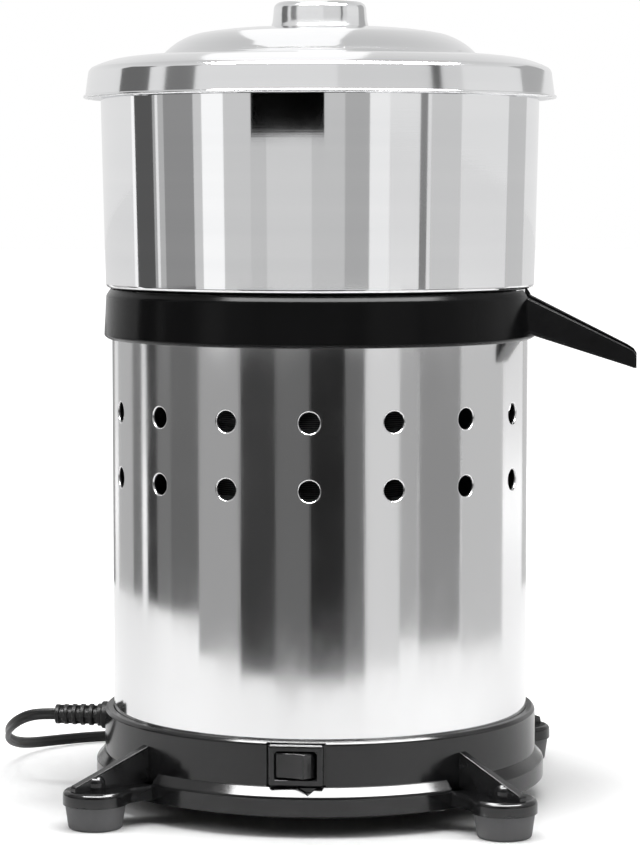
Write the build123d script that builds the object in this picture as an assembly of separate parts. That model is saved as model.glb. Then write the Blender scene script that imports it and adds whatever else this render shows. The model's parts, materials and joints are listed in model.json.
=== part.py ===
from build123d import *
import math
import os

# Bench citrus juicer: a motor in a steel tube on a four-footed base, with a juice tray, a bowl and a
# lid stacked on top. The origin is on the motor axis at the surface that the feet stand on, +Z is up.
# Angles are counted about that axis, from the switch at the front (-Y) towards the spout (+X).

# Steel body tube with two rows of vent holes
BODY_R = 100.0
BODY_T = 0.8
BODY_BOTTOM = 20.0
BODY_TOP = 226.0
VENT_R = 4.8
VENT_COUNT = 16
VENT_ROWS = (157.0, 188.0)
VENT_OFFSET = 3.2

# Base moulding: stepped ring with a sloping flange
FLANGE_R = 108.5
FLANGE_BOTTOM = 9.8
FLANGE_TOP = 18.6
SLOPE_TOP = 22.9
RING_R = 104.4
RING_TOP = 42.2
LIP_R = 103.2
LIP_TOP = 43.6
POCKET_R = BODY_R + 0.3
LEDGE_R = 88.0
LEDGE_T = 3.5
SKIRT_R = 97.0
UNDERCUT = (100.4, 105.4, 17.6)
PIP_W = 8.6
PIP_H = 2.7
PIP_ANGLE = 3.0

# Arms and feet
ARM_COUNT = 4
FIRST_ARM = 45.0
ARM_ANGLES = [FIRST_ARM + 360 * index / ARM_COUNT for index in range(ARM_COUNT)]
FOOT_NAMES = ("front_right", "rear_right", "rear_left", "front_left")
FOOT_CIRCLE_R = 133.0
FOOT_H = 11.4
FOOT_TOP_R = 14.0
FOOT_BOTTOM_R = 12.4
FOOT_SPIGOT_R = 5.0
FOOT_SPIGOT_H = 2.0
ARM_TOP = 18.0
PAD_R = 15.0
NECK_W = 20.0
NECK_FILLET = 7.0
ARM_EDGE = 1.2
RIB_T = 3.4
RIB_ROOT_Z = 35.0
RIB_TIP_R = 145.5
RIB_TIP_Z = 20.5
BOSS_R = 3.6
BOSS_TOP = 25.8
FOOT_SCREW_R = 2.0
FOOT_SCREW_HEAD = (4.2, 3.2, 5.5)
SCREW_PLAY = 0.2

# Posts that take the long body bolts from above and the cover screws from below
POST_CIRCLE_R = 87.0
POST_R = 6.0
POST_TOP = 36.0
BODY_BOLT_R = 2.0
COVER_SCREW_R = 1.8
COVER_R = 96.6
COVER_BOTTOM = 7.0
COVER_T = 2.5
COVER_RIM_T = 2.6
COVER_SLOTS = 16
COVER_SLOT = (50.0, 76.0, 5.0)
COVER_SCREW_HEAD = (3.6, 2.0)

# Switch, let into the front of the ring
SWITCH_Z = 32.9
BEZEL_W = 26.4
BEZEL_H = 19.6
BEZEL_FRONT = 106.4
BEZEL_BACK = 103.2
SWITCH_BOX_W = 22.0
SWITCH_BOX_H = 15.0
SWITCH_BOX_BACK = 86.0
OPENING_W = 19.4
OPENING_H = 13.0
ROCKER_H = 12.4
ROCKER_PIVOT = 101.7
ROCKER_TILT = 11.0
ROCKER_OUTLINE = ((-8.25, -6.0), (0, -4.9), (8.25, -6.0), (8.9, 1.5), (4.0, 6.0), (-4.0, 6.0), (-8.9, 1.5))
TRUNNION_R = 1.5
TERMINAL = (4.8, 0.8, 8.0, 6.0)

# Cord: flat twin lead with a ribbed strain relief
CORD_R = 2.8
CORD_T = 2.8
CORD_Z = 35.6
RELIEF_SHOULDER = 107.5
RELIEF_TIP = 130.5
RELIEF_RIBS = 6
RELIEF_R = 5.5
RELIEF_TIP_R = 4.8
RELIEF_CORE_R = 3.5

# Route of the cord from the strain relief round to the coil behind the base
LEAD_ROUTE = (
    (-130.5, 0.0, 35.6), (-138.5, 0.0, 35.6), (-146.3, 2.8, 33.6), (-153.0, 8.7, 29.4),
    (-158.9, 19.9, 23.8), (-162.9, 37.9, 16.5), (-163.6, 58.8, 10.1), (-160.5, 80.0, 5.5),
    (-150.5, 99.5, 3.6), (-132.0, 114.5, 3.2), (-107.0, 122.5, 3.2), (-77.5, 125.0, 3.2),
    (-47.0, 122.3, 3.5), (-22.0, 118.0, 4.2), (-5.6, 118.0, 4.2))
COIL_CENTRE_Y = 155.0
COIL_R = 37.0
COIL_PITCH = 6.4
COIL_TURNS = 2.0
COIL_CLIMB = 0.5
COIL_Z = 4.2
COIL_RISE = 6.2
TIE_W = 8.0
TIE_T = 1.0
TIE_GAP = 0.5
PLUG_ENTRY = 42.0
PLUG_Z = 7.4
PLUG_HEAD = (17.6, 11.6, 7.3)
PLUG_NECK_SHARE = 0.45
PLUG_NECK_R = 4.0
PLUG_NECK_L = 10.0
PLUG_TAPER_L = 28.0
PLUG_L = 46.0
PLUG_PIN_R = 2.0
PLUG_SHANK_R = 1.5
PLUG_SHANK_L = 8.0
PLUG_PIN_L = 19.0
PLUG_PIN_SPACING = 19.0

# Motor, hung under a plate on top of the body tube
PLATE_T = 2.0
PLATE_R = BODY_R - 0.2
MOTOR_R = 64.0
STATOR_Z = (150.0, 196.0)
STATOR_BORE = 32.6
STATOR_SLOTS = 24
STATOR_SLOT = (52.0, 4.8, 2.0)
WINDING_R = (35.0, 54.0)
WINDING_H = 13.0
WINDING_EDGE = (3.0, 4.0)
ROTOR_R = 32.0
ROTOR_RING = (3.0, 6.0)
SHIELD_WALL_R = 57.0
SHIELD_TOP = BODY_TOP
SHIELD_BOTTOM = 124.0
BEARING_R = 16.0
BEARING_BORE_R = 6.0
BEARING_W = 10.0
BEARING_GAP = (9.5, 9.9)
BEARING_Z = (130.0, 206.0)
MOTOR_BOLT_CIRCLE = 60.5
MOTOR_BOLT_R = 1.8
MOTOR_BOLT_HEAD = (3.2, 3.0)
UPPER_WINDOW = (22.0, 5.0, 16.0)
LOWER_WINDOW = (26.0, 50.0, 18.0)
SHIELD_T = (4.0, 7.0)
PLATE_SCREW_CIRCLE = 50.0
PLATE_SCREW_R = 2.0
TRAY_SCREW_CIRCLE = 15.0
TRAY_SCREW_R = 1.9
TRAY_SCREW_HEAD = (3.2, 2.4)
TRAY_SCREW_L = 7.0
SHAFT_R = 6.0
SHAFT_SEAT_R = 7.0
SHAFT_BOTTOM = 104.0
SHAFT_TOP = 292.0
SHAFT_COLLAR = (9.0, 254.0, 257.0)
SHAFT_FLAT = 4.5
FAN_R = 50.0
FAN_BLADES = 9
FAN_HUB_R = 11.0
FAN_H = 12.0
FAN_DISC_T = 2.0
CAPACITOR_R = 17.5
CAPACITOR_H = 52.0
CAPACITOR_Y = 25.0
CAPACITOR_CUP_H = 8.0
CAPACITOR_TAB = (6.2, 0.8, 9.0, 6.0)

# Juice tray: the black collar with the spout
TRAY_FLOOR = 230.5
TRAY_BOTTOM = 221.6
TRAY_TOP = 245.6
TRAY_BEVEL = (2.2, 3.2)
TRAY_TOP_R = 102.8
TRAY_FLARE_R = 103.8
TRAY_BORE_R = 99.8
HUB_R = 20.0
HUB_TOP = 250.0
HUB_BORE_R = 9.5
SEAL_R = 12.0
SEAL_BOTTOM = 243.0
BOWL_RIBS = 6
BOWL_RIB = (4.5, 3.0)
SPOUT_TIP = 152.0
SPOUT_ROOT = 100.5
SPOUT_UPPER = ((SPOUT_ROOT, 242.0), (SPOUT_TIP - 4.5, 218.6), (SPOUT_TIP - 0.8, 215.0))
SPOUT_LOWER = ((SPOUT_TIP, 208.2), (SPOUT_ROOT, 224.8))
SPOUT_RUN_END = (SPOUT_TIP + 2, 210.4)
SPOUT_ROUND = 2.5
SPOUT_W = (22.0, 14.5)
SPOUT_WALL = 2.4
WALL = 1.2

# Bowl and lid of spun aluminium
BOWL_TOP = 348.2
BOWL_TOP_R = 105.3
BOWL_BOTTOM = 246.0
BOWL_BOTTOM_R = 102.9
BOWL_SPIGOT_R = 98.6
BOWL_SPIGOT_BOTTOM = 239.3
BOWL_EDGE = 1.6
BEAD_R = 1.6
BEAD_SIDES = 8
LID_RIM = (112.4, 336.0)
LID_SHOULDER = ((110.4, 349.2), (104.9, 352.4), (91.5, 356.0))
LID_STEP = (75.4, 356.2)
LID_DOME = ((74.4, 357.4), (65.6, 364.6), (47.0, 368.8))
LID_CENTRE = 369.7
KNOB_BASE_R = 23.6
KNOB_TOP_R = 21.9
KNOB_TOP = 382.0
KNOB_EDGE = 3.2
KNOB_SCREW_R = 2.4
KNOB_SCREW_L = 7.0
KNOB_SCREW_HEAD = (4.6, 2.5)

# Strainer and reamer inside the bowl
STRAINER_FLOOR = 247.5
STRAINER_R = 99.3
STRAINER_RIM_TOP = 262.0
STRAINER_EDGE = 2.0
STRAINER_HUB = (11.0, 24.0, 255.2)
STRAINER_SLITS = ((42.0, 18), (62.0, 26), (82.0, 34))
SLIT_L = 14.0
SLIT_W = 2.2
REAMER_FLUTES = 10
REAMER_SECTIONS = ((262.0, 38.0), (272.0, 36.6), (284.0, 32.2), (296.0, 25.4), (306.0, 17.4), (313.0, 9.6),
                   (317.0, 3.0))
REAMER_VALLEY = 0.84
REAMER_SKIRT_R = 41.0
REAMER_BOTTOM = 252.0
REAMER_SEAT = SHAFT_COLLAR[2] + 0.3
REAMER_RECESS_R = 28.0
REAMER_HOLLOW = ((26.0, 274.0), (14.0, 296.0))
REAMER_HUB_R = 12.0
REAMER_PLAY = 0.12


def turned(*profile):
    return revolve(make_face(Plane.XZ * Polyline(*profile, close=True)), Axis.Z)


def spun_sheet(path, inside):
    """Sheet metal spun about Z, which thickens from its outer line towards a point inside."""
    line = Wire(path.edges())
    faces = [make_face(line.offset_2d(WALL, kind=Kind.INTERSECTION, side=side, closed=True))
             for side in (Side.LEFT, Side.RIGHT)]
    return revolve(min(faces, key=lambda face: (face.center() - inside).length), Axis.Z)


def rod(radius, bottom, top, x=0.0, y=0.0):
    return Pos(x, y, (bottom + top) / 2) * Cylinder(radius, top - bottom)


def block(x, y, z):
    size = [high - low for low, high in (x, y, z)]
    middle = [(high + low) / 2 for low, high in (x, y, z)]
    return Pos(*middle) * Box(*size)


def at_angle(shape, angle):
    """Turn a shape drawn along +X to an angle from the front."""
    return Rot(0, 0, angle - 90) * shape


def ring_of(shape, count, start=0.0):
    return [at_angle(shape, start + 360 * index / count) for index in range(count)]


def on_plan(radius, angle):
    return radius * math.sin(math.radians(angle)), -radius * math.cos(math.radians(angle))


def countersunk(radius, top, bottom, x, y):
    head_r = 2 * radius
    cone = Pos(x, y, top - radius / 2) * Cone(radius, head_r, radius)
    return rod(radius, bottom, top - radius / 2, x, y) + cone


def make_arm():
    pad = Pos(FOOT_CIRCLE_R, 0) * Circle(PAD_R)
    neck = Pos((BODY_R + FOOT_CIRCLE_R) / 2 + 2, 0) * Rectangle(FOOT_CIRCLE_R - BODY_R - 4, NECK_W)
    plan = pad + neck
    inner = [v for v in plan.vertices() if BODY_R + 12 < v.X < FOOT_CIRCLE_R]
    plan = fillet(inner, NECK_FILLET)
    arm = Pos(0, 0, FOOT_H) * extrude(plan, ARM_TOP - FOOT_H)
    rounded = [edge for edge in arm.faces().sort_by(Axis.Z)[-1].outer_wire().edges()
               if edge.center().X > BODY_R + 6]
    arm = chamfer(rounded, ARM_EDGE)
    rib = make_face(Plane.XZ * Polyline(
        (BODY_R + 1, ARM_TOP - 1), (RIB_TIP_R, ARM_TOP - 1), (RIB_TIP_R, RIB_TIP_Z),
        (RING_R - 0.5, RIB_ROOT_Z), (BODY_R + 1, RIB_ROOT_Z), close=True))
    rib = extrude(rib, RIB_T / 2, both=True)
    boss = rod(BOSS_R, ARM_TOP - 1, BOSS_TOP - 1.2, FOOT_CIRCLE_R)
    boss += Pos(FOOT_CIRCLE_R, 0, BOSS_TOP - 0.6) * Cone(BOSS_R, BOSS_R - 1.6, 1.2)
    recess = rod(FOOT_SPIGOT_R + 0.2, FOOT_H - 1, FOOT_H + FOOT_SPIGOT_H + 0.2, FOOT_CIRCLE_R)
    screw_hole = rod(FOOT_SCREW_R, FOOT_H, BOSS_TOP - 3, FOOT_CIRCLE_R)
    return arm + rib + boss - recess - screw_hole


def make_base_moulding():
    groove_in, groove_out, groove_top = UNDERCUT
    base = turned(
        (SKIRT_R, FLANGE_BOTTOM), (FLANGE_R, FLANGE_BOTTOM), (FLANGE_R, FLANGE_TOP),
        (RING_R + 0.3, SLOPE_TOP), (RING_R, RING_TOP), (LIP_R, LIP_TOP), (POCKET_R, LIP_TOP),
        (POCKET_R, BODY_BOTTOM), (LEDGE_R, BODY_BOTTOM), (LEDGE_R, BODY_BOTTOM - LEDGE_T),
        (SKIRT_R, BODY_BOTTOM - LEDGE_T))
    base -= turned((groove_in, FLANGE_BOTTOM - 1), (groove_out, FLANGE_BOTTOM - 1),
                   (groove_out, groove_top), (groove_in, groove_top))
    gap = block((RING_R, FLANGE_R + 2), (-NECK_W / 2 - 1, NECK_W / 2 + 1), (ARM_TOP, SLOPE_TOP + 1))
    base -= ring_of(gap, ARM_COUNT, FIRST_ARM)
    post = rod(POST_R, COVER_BOTTOM + COVER_T, POST_TOP, POST_CIRCLE_R)
    post_bore = rod(BODY_BOLT_R, BODY_BOTTOM, POST_TOP + 1, POST_CIRCLE_R)
    cover_bore = rod(COVER_SCREW_R, COVER_BOTTOM, BODY_BOTTOM - LEDGE_T, POST_CIRCLE_R)
    base += ring_of(make_arm(), ARM_COUNT, FIRST_ARM) + ring_of(post, ARM_COUNT, FIRST_ARM)
    base -= ring_of(post_bore + cover_bore, ARM_COUNT, FIRST_ARM)
    seat_w, seat_h = BEZEL_W / 2, BEZEL_H / 2
    base -= block((-seat_w, seat_w), (-FLANGE_R, -BEZEL_BACK), (SWITCH_Z - seat_h, SWITCH_Z + seat_h))
    box_w, box_h = SWITCH_BOX_W / 2, SWITCH_BOX_H / 2
    base -= block((-box_w, box_w), (-RING_R - 1, -BODY_R + 2), (SWITCH_Z - box_h, SWITCH_Z + box_h))
    base -= Pos(-RING_R, 0, CORD_Z) * Rot(0, 90, 0) * Cylinder(RELIEF_R, 12)
    slope_r = (FLANGE_R + RING_R) / 2
    pip = make_face(Polyline((-PIP_W / 2, PIP_H), (PIP_W / 2, PIP_H), (0, 0), close=True))
    pip_plane = Plane(origin=(0, -slope_r, SLOPE_TOP - PIP_H), x_dir=(1, 0, 0),
                      z_dir=(0, -1, 0))
    return base - Rot(0, 0, PIP_ANGLE) * extrude(pip_plane * pip, 4, both=True)


def make_foot(angle):
    head_r, head_low, head_high = FOOT_SCREW_HEAD
    hole_r, recess_r, spigot_top = FOOT_SCREW_R + SCREW_PLAY, head_r + 0.8, FOOT_H + FOOT_SPIGOT_H
    foot = turned((hole_r, head_high), (recess_r, head_high), (recess_r, 0), (FOOT_BOTTOM_R - 1.2, 0),
                  (FOOT_BOTTOM_R, 1.2), (FOOT_TOP_R, FOOT_H), (FOOT_SPIGOT_R, FOOT_H),
                  (FOOT_SPIGOT_R, spigot_top), (hole_r, spigot_top))
    return at_angle(Pos(FOOT_CIRCLE_R, 0, 0) * foot, angle)


def make_foot_screws():
    head_r, head_low, head_high = FOOT_SCREW_HEAD
    screw = rod(head_r, head_low, head_high) + rod(FOOT_SCREW_R, head_high, BOSS_TOP - 3.2)
    return ring_of(Pos(FOOT_CIRCLE_R, 0, 0) * screw, ARM_COUNT, FIRST_ARM)


def make_bottom_cover():
    top = COVER_BOTTOM + COVER_T
    cover = rod(COVER_R, COVER_BOTTOM, top)
    rim_in, rim_top = COVER_R - COVER_RIM_T, BODY_BOTTOM - LEDGE_T - 0.2
    cover += turned((rim_in, top - 0.5), (COVER_R, top - 0.5), (COVER_R, rim_top), (rim_in, rim_top))
    cup_in, cup_out, cup_top = CAPACITOR_R + 0.1, CAPACITOR_R + 2, top + CAPACITOR_CUP_H
    cup = turned((cup_in, top - 0.5), (cup_out, top - 0.5), (cup_out, cup_top), (cup_in, cup_top))
    cover += Pos(0, CAPACITOR_Y, 0) * cup
    slot_in, slot_out, slot_w = COVER_SLOT
    slot = block((slot_in, slot_out), (-slot_w / 2, slot_w / 2), (COVER_BOTTOM - 1, top + 1))
    cover -= ring_of(slot, COVER_SLOTS, 180 / COVER_SLOTS)
    for angle in ARM_ANGLES:
        cover -= rod(COVER_SCREW_R + SCREW_PLAY, COVER_BOTTOM - 1, top + 1, *on_plan(POST_CIRCLE_R, angle))
    return cover


def make_cover_screws():
    head_r, head_h = COVER_SCREW_HEAD
    screw = rod(head_r, COVER_BOTTOM - head_h, COVER_BOTTOM)
    screw += rod(COVER_SCREW_R, COVER_BOTTOM, BODY_BOTTOM - LEDGE_T - 0.3)
    return ring_of(Pos(POST_CIRCLE_R, 0, 0) * screw, ARM_COUNT, FIRST_ARM)


def make_body_shell():
    shell = rod(BODY_R, BODY_BOTTOM, BODY_TOP) - rod(BODY_R - BODY_T, BODY_BOTTOM - 1, BODY_TOP + 1)
    drill = Pos(BODY_R, 0, 0) * Rot(0, 90, 0) * Cylinder(VENT_R, 8)
    for height in VENT_ROWS:
        shell -= ring_of(Pos(0, 0, height) * drill, VENT_COUNT, VENT_OFFSET)
    switch_half = SWITCH_BOX_W / 2 + 0.8
    switch_top = SWITCH_Z + SWITCH_BOX_H / 2 + 0.8
    shell -= block((-switch_half, switch_half), (-BODY_R - 1, -80), (BODY_BOTTOM - 1, switch_top))
    relief_half = RELIEF_R + 2.4
    relief_top = CORD_Z + relief_half
    return shell - block((-BODY_R - 1, -80), (-relief_half, relief_half), (BODY_BOTTOM - 1, relief_top))


def make_switch_housing():
    half_w, half_h = BEZEL_W / 2, BEZEL_H / 2
    bezel = block((-half_w, half_w), (-BEZEL_FRONT, -BEZEL_BACK), (SWITCH_Z - half_h, SWITCH_Z + half_h))
    bezel = chamfer(bezel.faces().sort_by(Axis.Y)[0].edges(), 1.0)
    box_w, box_h = SWITCH_BOX_W / 2, SWITCH_BOX_H / 2
    housing = bezel + block((-box_w, box_w), (-BEZEL_BACK - 0.5, -SWITCH_BOX_BACK),
                            (SWITCH_Z - box_h, SWITCH_Z + box_h))
    open_w, open_h = OPENING_W / 2, OPENING_H / 2
    housing -= block((-open_w, open_w), (-BEZEL_FRONT - 1, -SWITCH_BOX_BACK - 3),
                     (SWITCH_Z - open_h, SWITCH_Z + open_h))
    return housing - rod(TRUNNION_R + 0.05, SWITCH_Z - box_h - 1, SWITCH_Z + box_h + 1, 0, -ROCKER_PIVOT)


def make_switch_rocker():
    rocker = extrude(make_face(Polyline(*ROCKER_OUTLINE, close=True)), ROCKER_H / 2, both=True)
    rocker += Cylinder(TRUNNION_R, SWITCH_BOX_H - 0.4)
    return Pos(0, -ROCKER_PIVOT, SWITCH_Z) * Rot(0, 0, -ROCKER_TILT) * rocker


def make_switch_terminals():
    width, thick, length, offset = TERMINAL
    blade = block((-width / 2, width / 2), (-SWITCH_BOX_BACK, -SWITCH_BOX_BACK + length),
                  (SWITCH_Z - thick / 2, SWITCH_Z + thick / 2))
    return [Pos(-offset, 0, 0) * blade, Pos(offset, 0, 0) * blade]


def make_strain_relief():
    rib_l = (RELIEF_TIP - RELIEF_SHOULDER) / (2 * RELIEF_RIBS - 1)
    relief = rod(RELIEF_R + 1.5, 94.5, 99.6) + rod(RELIEF_R - 0.1, 99, RELIEF_SHOULDER)
    relief += rod(RELIEF_R + 1.2, RING_R + 0.2, RELIEF_SHOULDER)
    relief += rod(RELIEF_CORE_R, RELIEF_SHOULDER, RELIEF_TIP)
    for index in range(RELIEF_RIBS):
        start = RELIEF_SHOULDER + 2 * index * rib_l
        radius = RELIEF_R + (RELIEF_TIP_R - RELIEF_R) * index / (RELIEF_RIBS - 1)
        relief += rod(radius, start, start + rib_l)
    web = block((-0.8, 0.8), (-RELIEF_TIP_R + 0.3, RELIEF_TIP_R - 0.3), (RELIEF_SHOULDER, RELIEF_TIP))
    relief += web + Rot(0, 0, 90) * web
    return Pos(0, 0, CORD_Z) * Rot(0, -90, 0) * relief


def tube(path):
    way = path % 0
    section = Plane(path @ 0, x_dir=way.cross(Vector(0, 0, 1)), z_dir=way) * Rectangle(CORD_T, 2 * CORD_R)
    swept = sweep(section, path=path)
    ratio = swept.volume / (section.area * path.length)
    print("cord tube volume over section times length:", round(ratio, 4))
    return swept


def cord_run(name, route):
    """A run of cord through a list of points, each corner as round as its two runs allow."""
    points = [Vector(*point) for point in route]
    radii = []
    for before, corner, after in zip(points, points[1:], points[2:]):
        shorter = min((corner - before).length, (after - corner).length)
        turn = math.radians((corner - before).get_angle(after - corner))
        radii.append(0.45 * shorter / math.tan(turn / 2))
    path = FilletPolyline(*points, radius=radii)
    print(name, "length", round(path.length, 1), "radii", [round(radius, 1) for radius in radii])
    return tube(path)


def coil_point(turn):
    """The coil spirals in, climbs one layer in half a turn and spirals out again."""
    inner_r = COIL_R - COIL_PITCH * COIL_TURNS
    climb = min(max((turn - COIL_TURNS) / COIL_CLIMB, 0), 1)
    inwards = max(COIL_TURNS - turn, 0)
    outwards = max(turn - COIL_TURNS - COIL_CLIMB, 0)
    radius = inner_r + COIL_PITCH * (inwards + outwards - COIL_CLIMB * climb * (1 - climb))
    height = COIL_Z + COIL_RISE * climb * climb * (3 - 2 * climb)
    angle = 2 * math.pi * (turn - 0.25)
    return Vector(radius * math.cos(angle), COIL_CENTRE_Y + radius * math.sin(angle), height)


def biarc(start, start_way, end, end_way):
    """Two tangent arcs from one point and direction to another."""
    chord = end - start
    ways = start_way + end_way
    spread = 2 * (1 - start_way.dot(end_way))
    along = chord.dot(ways)
    reach = (math.sqrt(along * along + spread * chord.dot(chord)) - along) / spread
    middle = (start + start_way * reach + end - end_way * reach) * 0.5
    first = TangentArc(start, middle, tangent=start_way)
    return [first, TangentArc(middle, end, tangent=first % 1)]


def make_cord_coil():
    last_turn = 2 * COIL_TURNS + COIL_CLIMB
    steps = [quarter / 4 for quarter in range(int(4 * last_turn) + 1)]
    points = [coil_point(turn) for turn in steps]
    ways = [(coil_point(turn + 1e-4) - coil_point(turn - 1e-4)).normalized() for turn in steps]
    ways[0] = Vector(1, 0, 0)
    ways[-1] = Vector(-1, 0, 0)
    straight = 2 * CORD_R
    edges = [Line(points[0] - ways[0] * straight, points[0])]
    for index in range(len(steps) - 1):
        edges += biarc(points[index], ways[index], points[index + 1], ways[index + 1])
    edges.append(Line(points[-1], points[-1] + ways[-1] * straight))
    path = Wire(edges)
    count = 300
    marks = [path @ (index / count) for index in range(count + 1)]
    apart = int(count * math.pi * COIL_R / 2 / path.length)
    gap = min((first - second).length for index, first in enumerate(marks)
              for second in marks[index + apart:])
    print("cord coil length", round(path.length, 1), "least gap to itself", round(gap - 2 * CORD_R, 2))
    return tube(path)


def make_cord_tail():
    start = coil_point(2 * COIL_TURNS + COIL_CLIMB) + Vector(-2 * CORD_R, 0, 0)
    route = ((start.X, start.Y, start.Z), (-16.0, start.Y, start.Z), (-28.0, start.Y, PLUG_Z),
             (-PLUG_ENTRY, start.Y, PLUG_Z))
    return cord_run("cord tail", route)


def make_coil_tie():
    inner_r = COIL_R - COIL_PITCH * (COIL_TURNS - 0.25) - CORD_R - TIE_GAP
    outer_r = COIL_R - COIL_PITCH * 0.75 + CORD_R + TIE_GAP
    bottom, top = COIL_Z - CORD_R - TIE_GAP / 2, COIL_Z + COIL_RISE + CORD_R + TIE_GAP
    depth = (COIL_CENTRE_Y - TIE_W / 2, COIL_CENTRE_Y + TIE_W / 2)
    band = block((-outer_r - TIE_T, -inner_r + TIE_T), depth, (bottom - TIE_T, top + TIE_T))
    band -= block((-outer_r, -inner_r), (depth[0] - 1, depth[1] + 1), (bottom, top))
    return chamfer(band.edges().filter_by(Axis.Y), 0.4)


def plug_outline(half_width, half_waist, half_height):
    return make_face(Polyline(
        (half_width, 0), (half_waist, half_height), (-half_waist, half_height), (-half_width, 0),
        (-half_waist, -half_height), (half_waist, -half_height), close=True))


def plug_place():
    """The plug lies beside the coil with its pins pointing away from the cord."""
    return Plane(origin=(-PLUG_ENTRY, COIL_CENTRE_Y + COIL_R, PLUG_Z), x_dir=(0, 1, 0), z_dir=(-1, 0, 0))


def make_plug_body():
    head = Pos(0, 0, PLUG_TAPER_L) * plug_outline(*PLUG_HEAD)
    neck = Pos(0, 0, PLUG_NECK_L) * plug_outline(*[PLUG_NECK_SHARE * size for size in PLUG_HEAD])
    body = extrude(head, PLUG_L - PLUG_TAPER_L) + loft([neck, head], ruled=True)
    body += rod(PLUG_NECK_R, 0, PLUG_NECK_L + 0.5)
    for x in (-PLUG_PIN_SPACING / 2, PLUG_PIN_SPACING / 2):
        body -= rod(PLUG_SHANK_R, PLUG_L - PLUG_SHANK_L, PLUG_L + 1, x)
    return plug_place() * body


def make_plug_pins():
    pin = rod(PLUG_SHANK_R, PLUG_L - PLUG_SHANK_L, PLUG_L) + rod(PLUG_PIN_R, PLUG_L, PLUG_L + PLUG_PIN_L - 1)
    pin += Pos(0, 0, PLUG_L + PLUG_PIN_L - 0.5) * Cone(PLUG_PIN_R, PLUG_PIN_R - 1, 1)
    return [plug_place() * Pos(x, 0, 0) * pin for x in (-PLUG_PIN_SPACING / 2, PLUG_PIN_SPACING / 2)]


def make_motor_plate():
    top = BODY_TOP + PLATE_T
    plate = rod(PLATE_R, BODY_TOP, top) - rod(HUB_BORE_R, BODY_TOP - 1, top + 1)
    for angle in ARM_ANGLES:
        plate -= countersunk(BODY_BOLT_R, top, BODY_TOP - 1, *on_plan(POST_CIRCLE_R, angle))
        plate -= countersunk(PLATE_SCREW_R, top, BODY_TOP - 1, *on_plan(PLATE_SCREW_CIRCLE, angle))
        plate -= rod(TRAY_SCREW_R + SCREW_PLAY, BODY_TOP - 1, top + 1, *on_plan(TRAY_SCREW_CIRCLE, angle))
    return plate


def make_body_bolts():
    top = BODY_TOP + PLATE_T
    return [countersunk(BODY_BOLT_R, top, BODY_BOTTOM + 0.5, *on_plan(POST_CIRCLE_R, a)) for a in ARM_ANGLES]


def make_plate_screws():
    top = BODY_TOP + PLATE_T
    return [countersunk(PLATE_SCREW_R, top, top - 12, *on_plan(PLATE_SCREW_CIRCLE, a)) for a in ARM_ANGLES]


def make_tray_screws():
    head_r, head_h = TRAY_SCREW_HEAD
    screw = rod(TRAY_SCREW_R, BODY_TOP - 0.2, TRAY_FLOOR + TRAY_SCREW_L)
    screw += rod(head_r, BODY_TOP - head_h, BODY_TOP)
    return ring_of(Pos(TRAY_SCREW_CIRCLE, 0, 0) * screw, ARM_COUNT, FIRST_ARM)


def make_upper_end_shield():
    low, high = STATOR_Z[1], SHIELD_TOP
    seat = BEARING_Z[1] + BEARING_W
    under, cup_r, recess = high - SHIELD_T[1], BEARING_R + 4, high - 4
    shield = turned((SHIELD_WALL_R, low), (MOTOR_R, low), (MOTOR_R, high), (HUB_R + 2, high),
                    (HUB_R + 2, recess), (HUB_BORE_R, recess), (HUB_BORE_R, seat), (BEARING_R, seat),
                    (BEARING_R, seat - BEARING_W), (cup_r, seat - BEARING_W), (cup_r, under),
                    (SHIELD_WALL_R, under))
    width, window_low, window_high = UPPER_WINDOW
    window = block((SHIELD_WALL_R - 2, MOTOR_R + 2), (-width / 2, width / 2),
                   (low + window_low, low + window_high))
    shield -= ring_of(window, 4)
    for angle in ARM_ANGLES:
        shield -= rod(PLATE_SCREW_R, high - 10.2, high + 1, *on_plan(PLATE_SCREW_CIRCLE, angle))
        shield -= rod(MOTOR_BOLT_R, low - 1, high - 8, *on_plan(MOTOR_BOLT_CIRCLE, angle))
    return shield


def make_lower_end_shield():
    low, high = SHIELD_BOTTOM, STATOR_Z[0]
    seat = BEARING_Z[0]
    over, cup_r = low + SHIELD_T[0], BEARING_R + 4
    shield = turned((SHIELD_WALL_R, high), (MOTOR_R, high), (MOTOR_R, low), (HUB_BORE_R, low),
                    (HUB_BORE_R, seat), (BEARING_R, seat), (BEARING_R, seat + BEARING_W),
                    (cup_r, seat + BEARING_W), (cup_r, over), (SHIELD_WALL_R, over))
    window_in, window_out, width = LOWER_WINDOW
    window = block((window_in, window_out), (-width / 2, width / 2), (low - 1, over + 1))
    shield -= ring_of(window, 6)
    for angle in ARM_ANGLES:
        shield -= rod(MOTOR_BOLT_R + SCREW_PLAY, low - 1, high + 1, *on_plan(MOTOR_BOLT_CIRCLE, angle))
    return shield


def make_motor_bolts():
    head_r, head_h = MOTOR_BOLT_HEAD
    bolt = rod(MOTOR_BOLT_R, SHIELD_BOTTOM - 0.2, SHIELD_TOP - 9)
    bolt += rod(head_r, SHIELD_BOTTOM - head_h, SHIELD_BOTTOM)
    return ring_of(Pos(MOTOR_BOLT_CIRCLE, 0, 0) * bolt, ARM_COUNT, FIRST_ARM)


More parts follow.
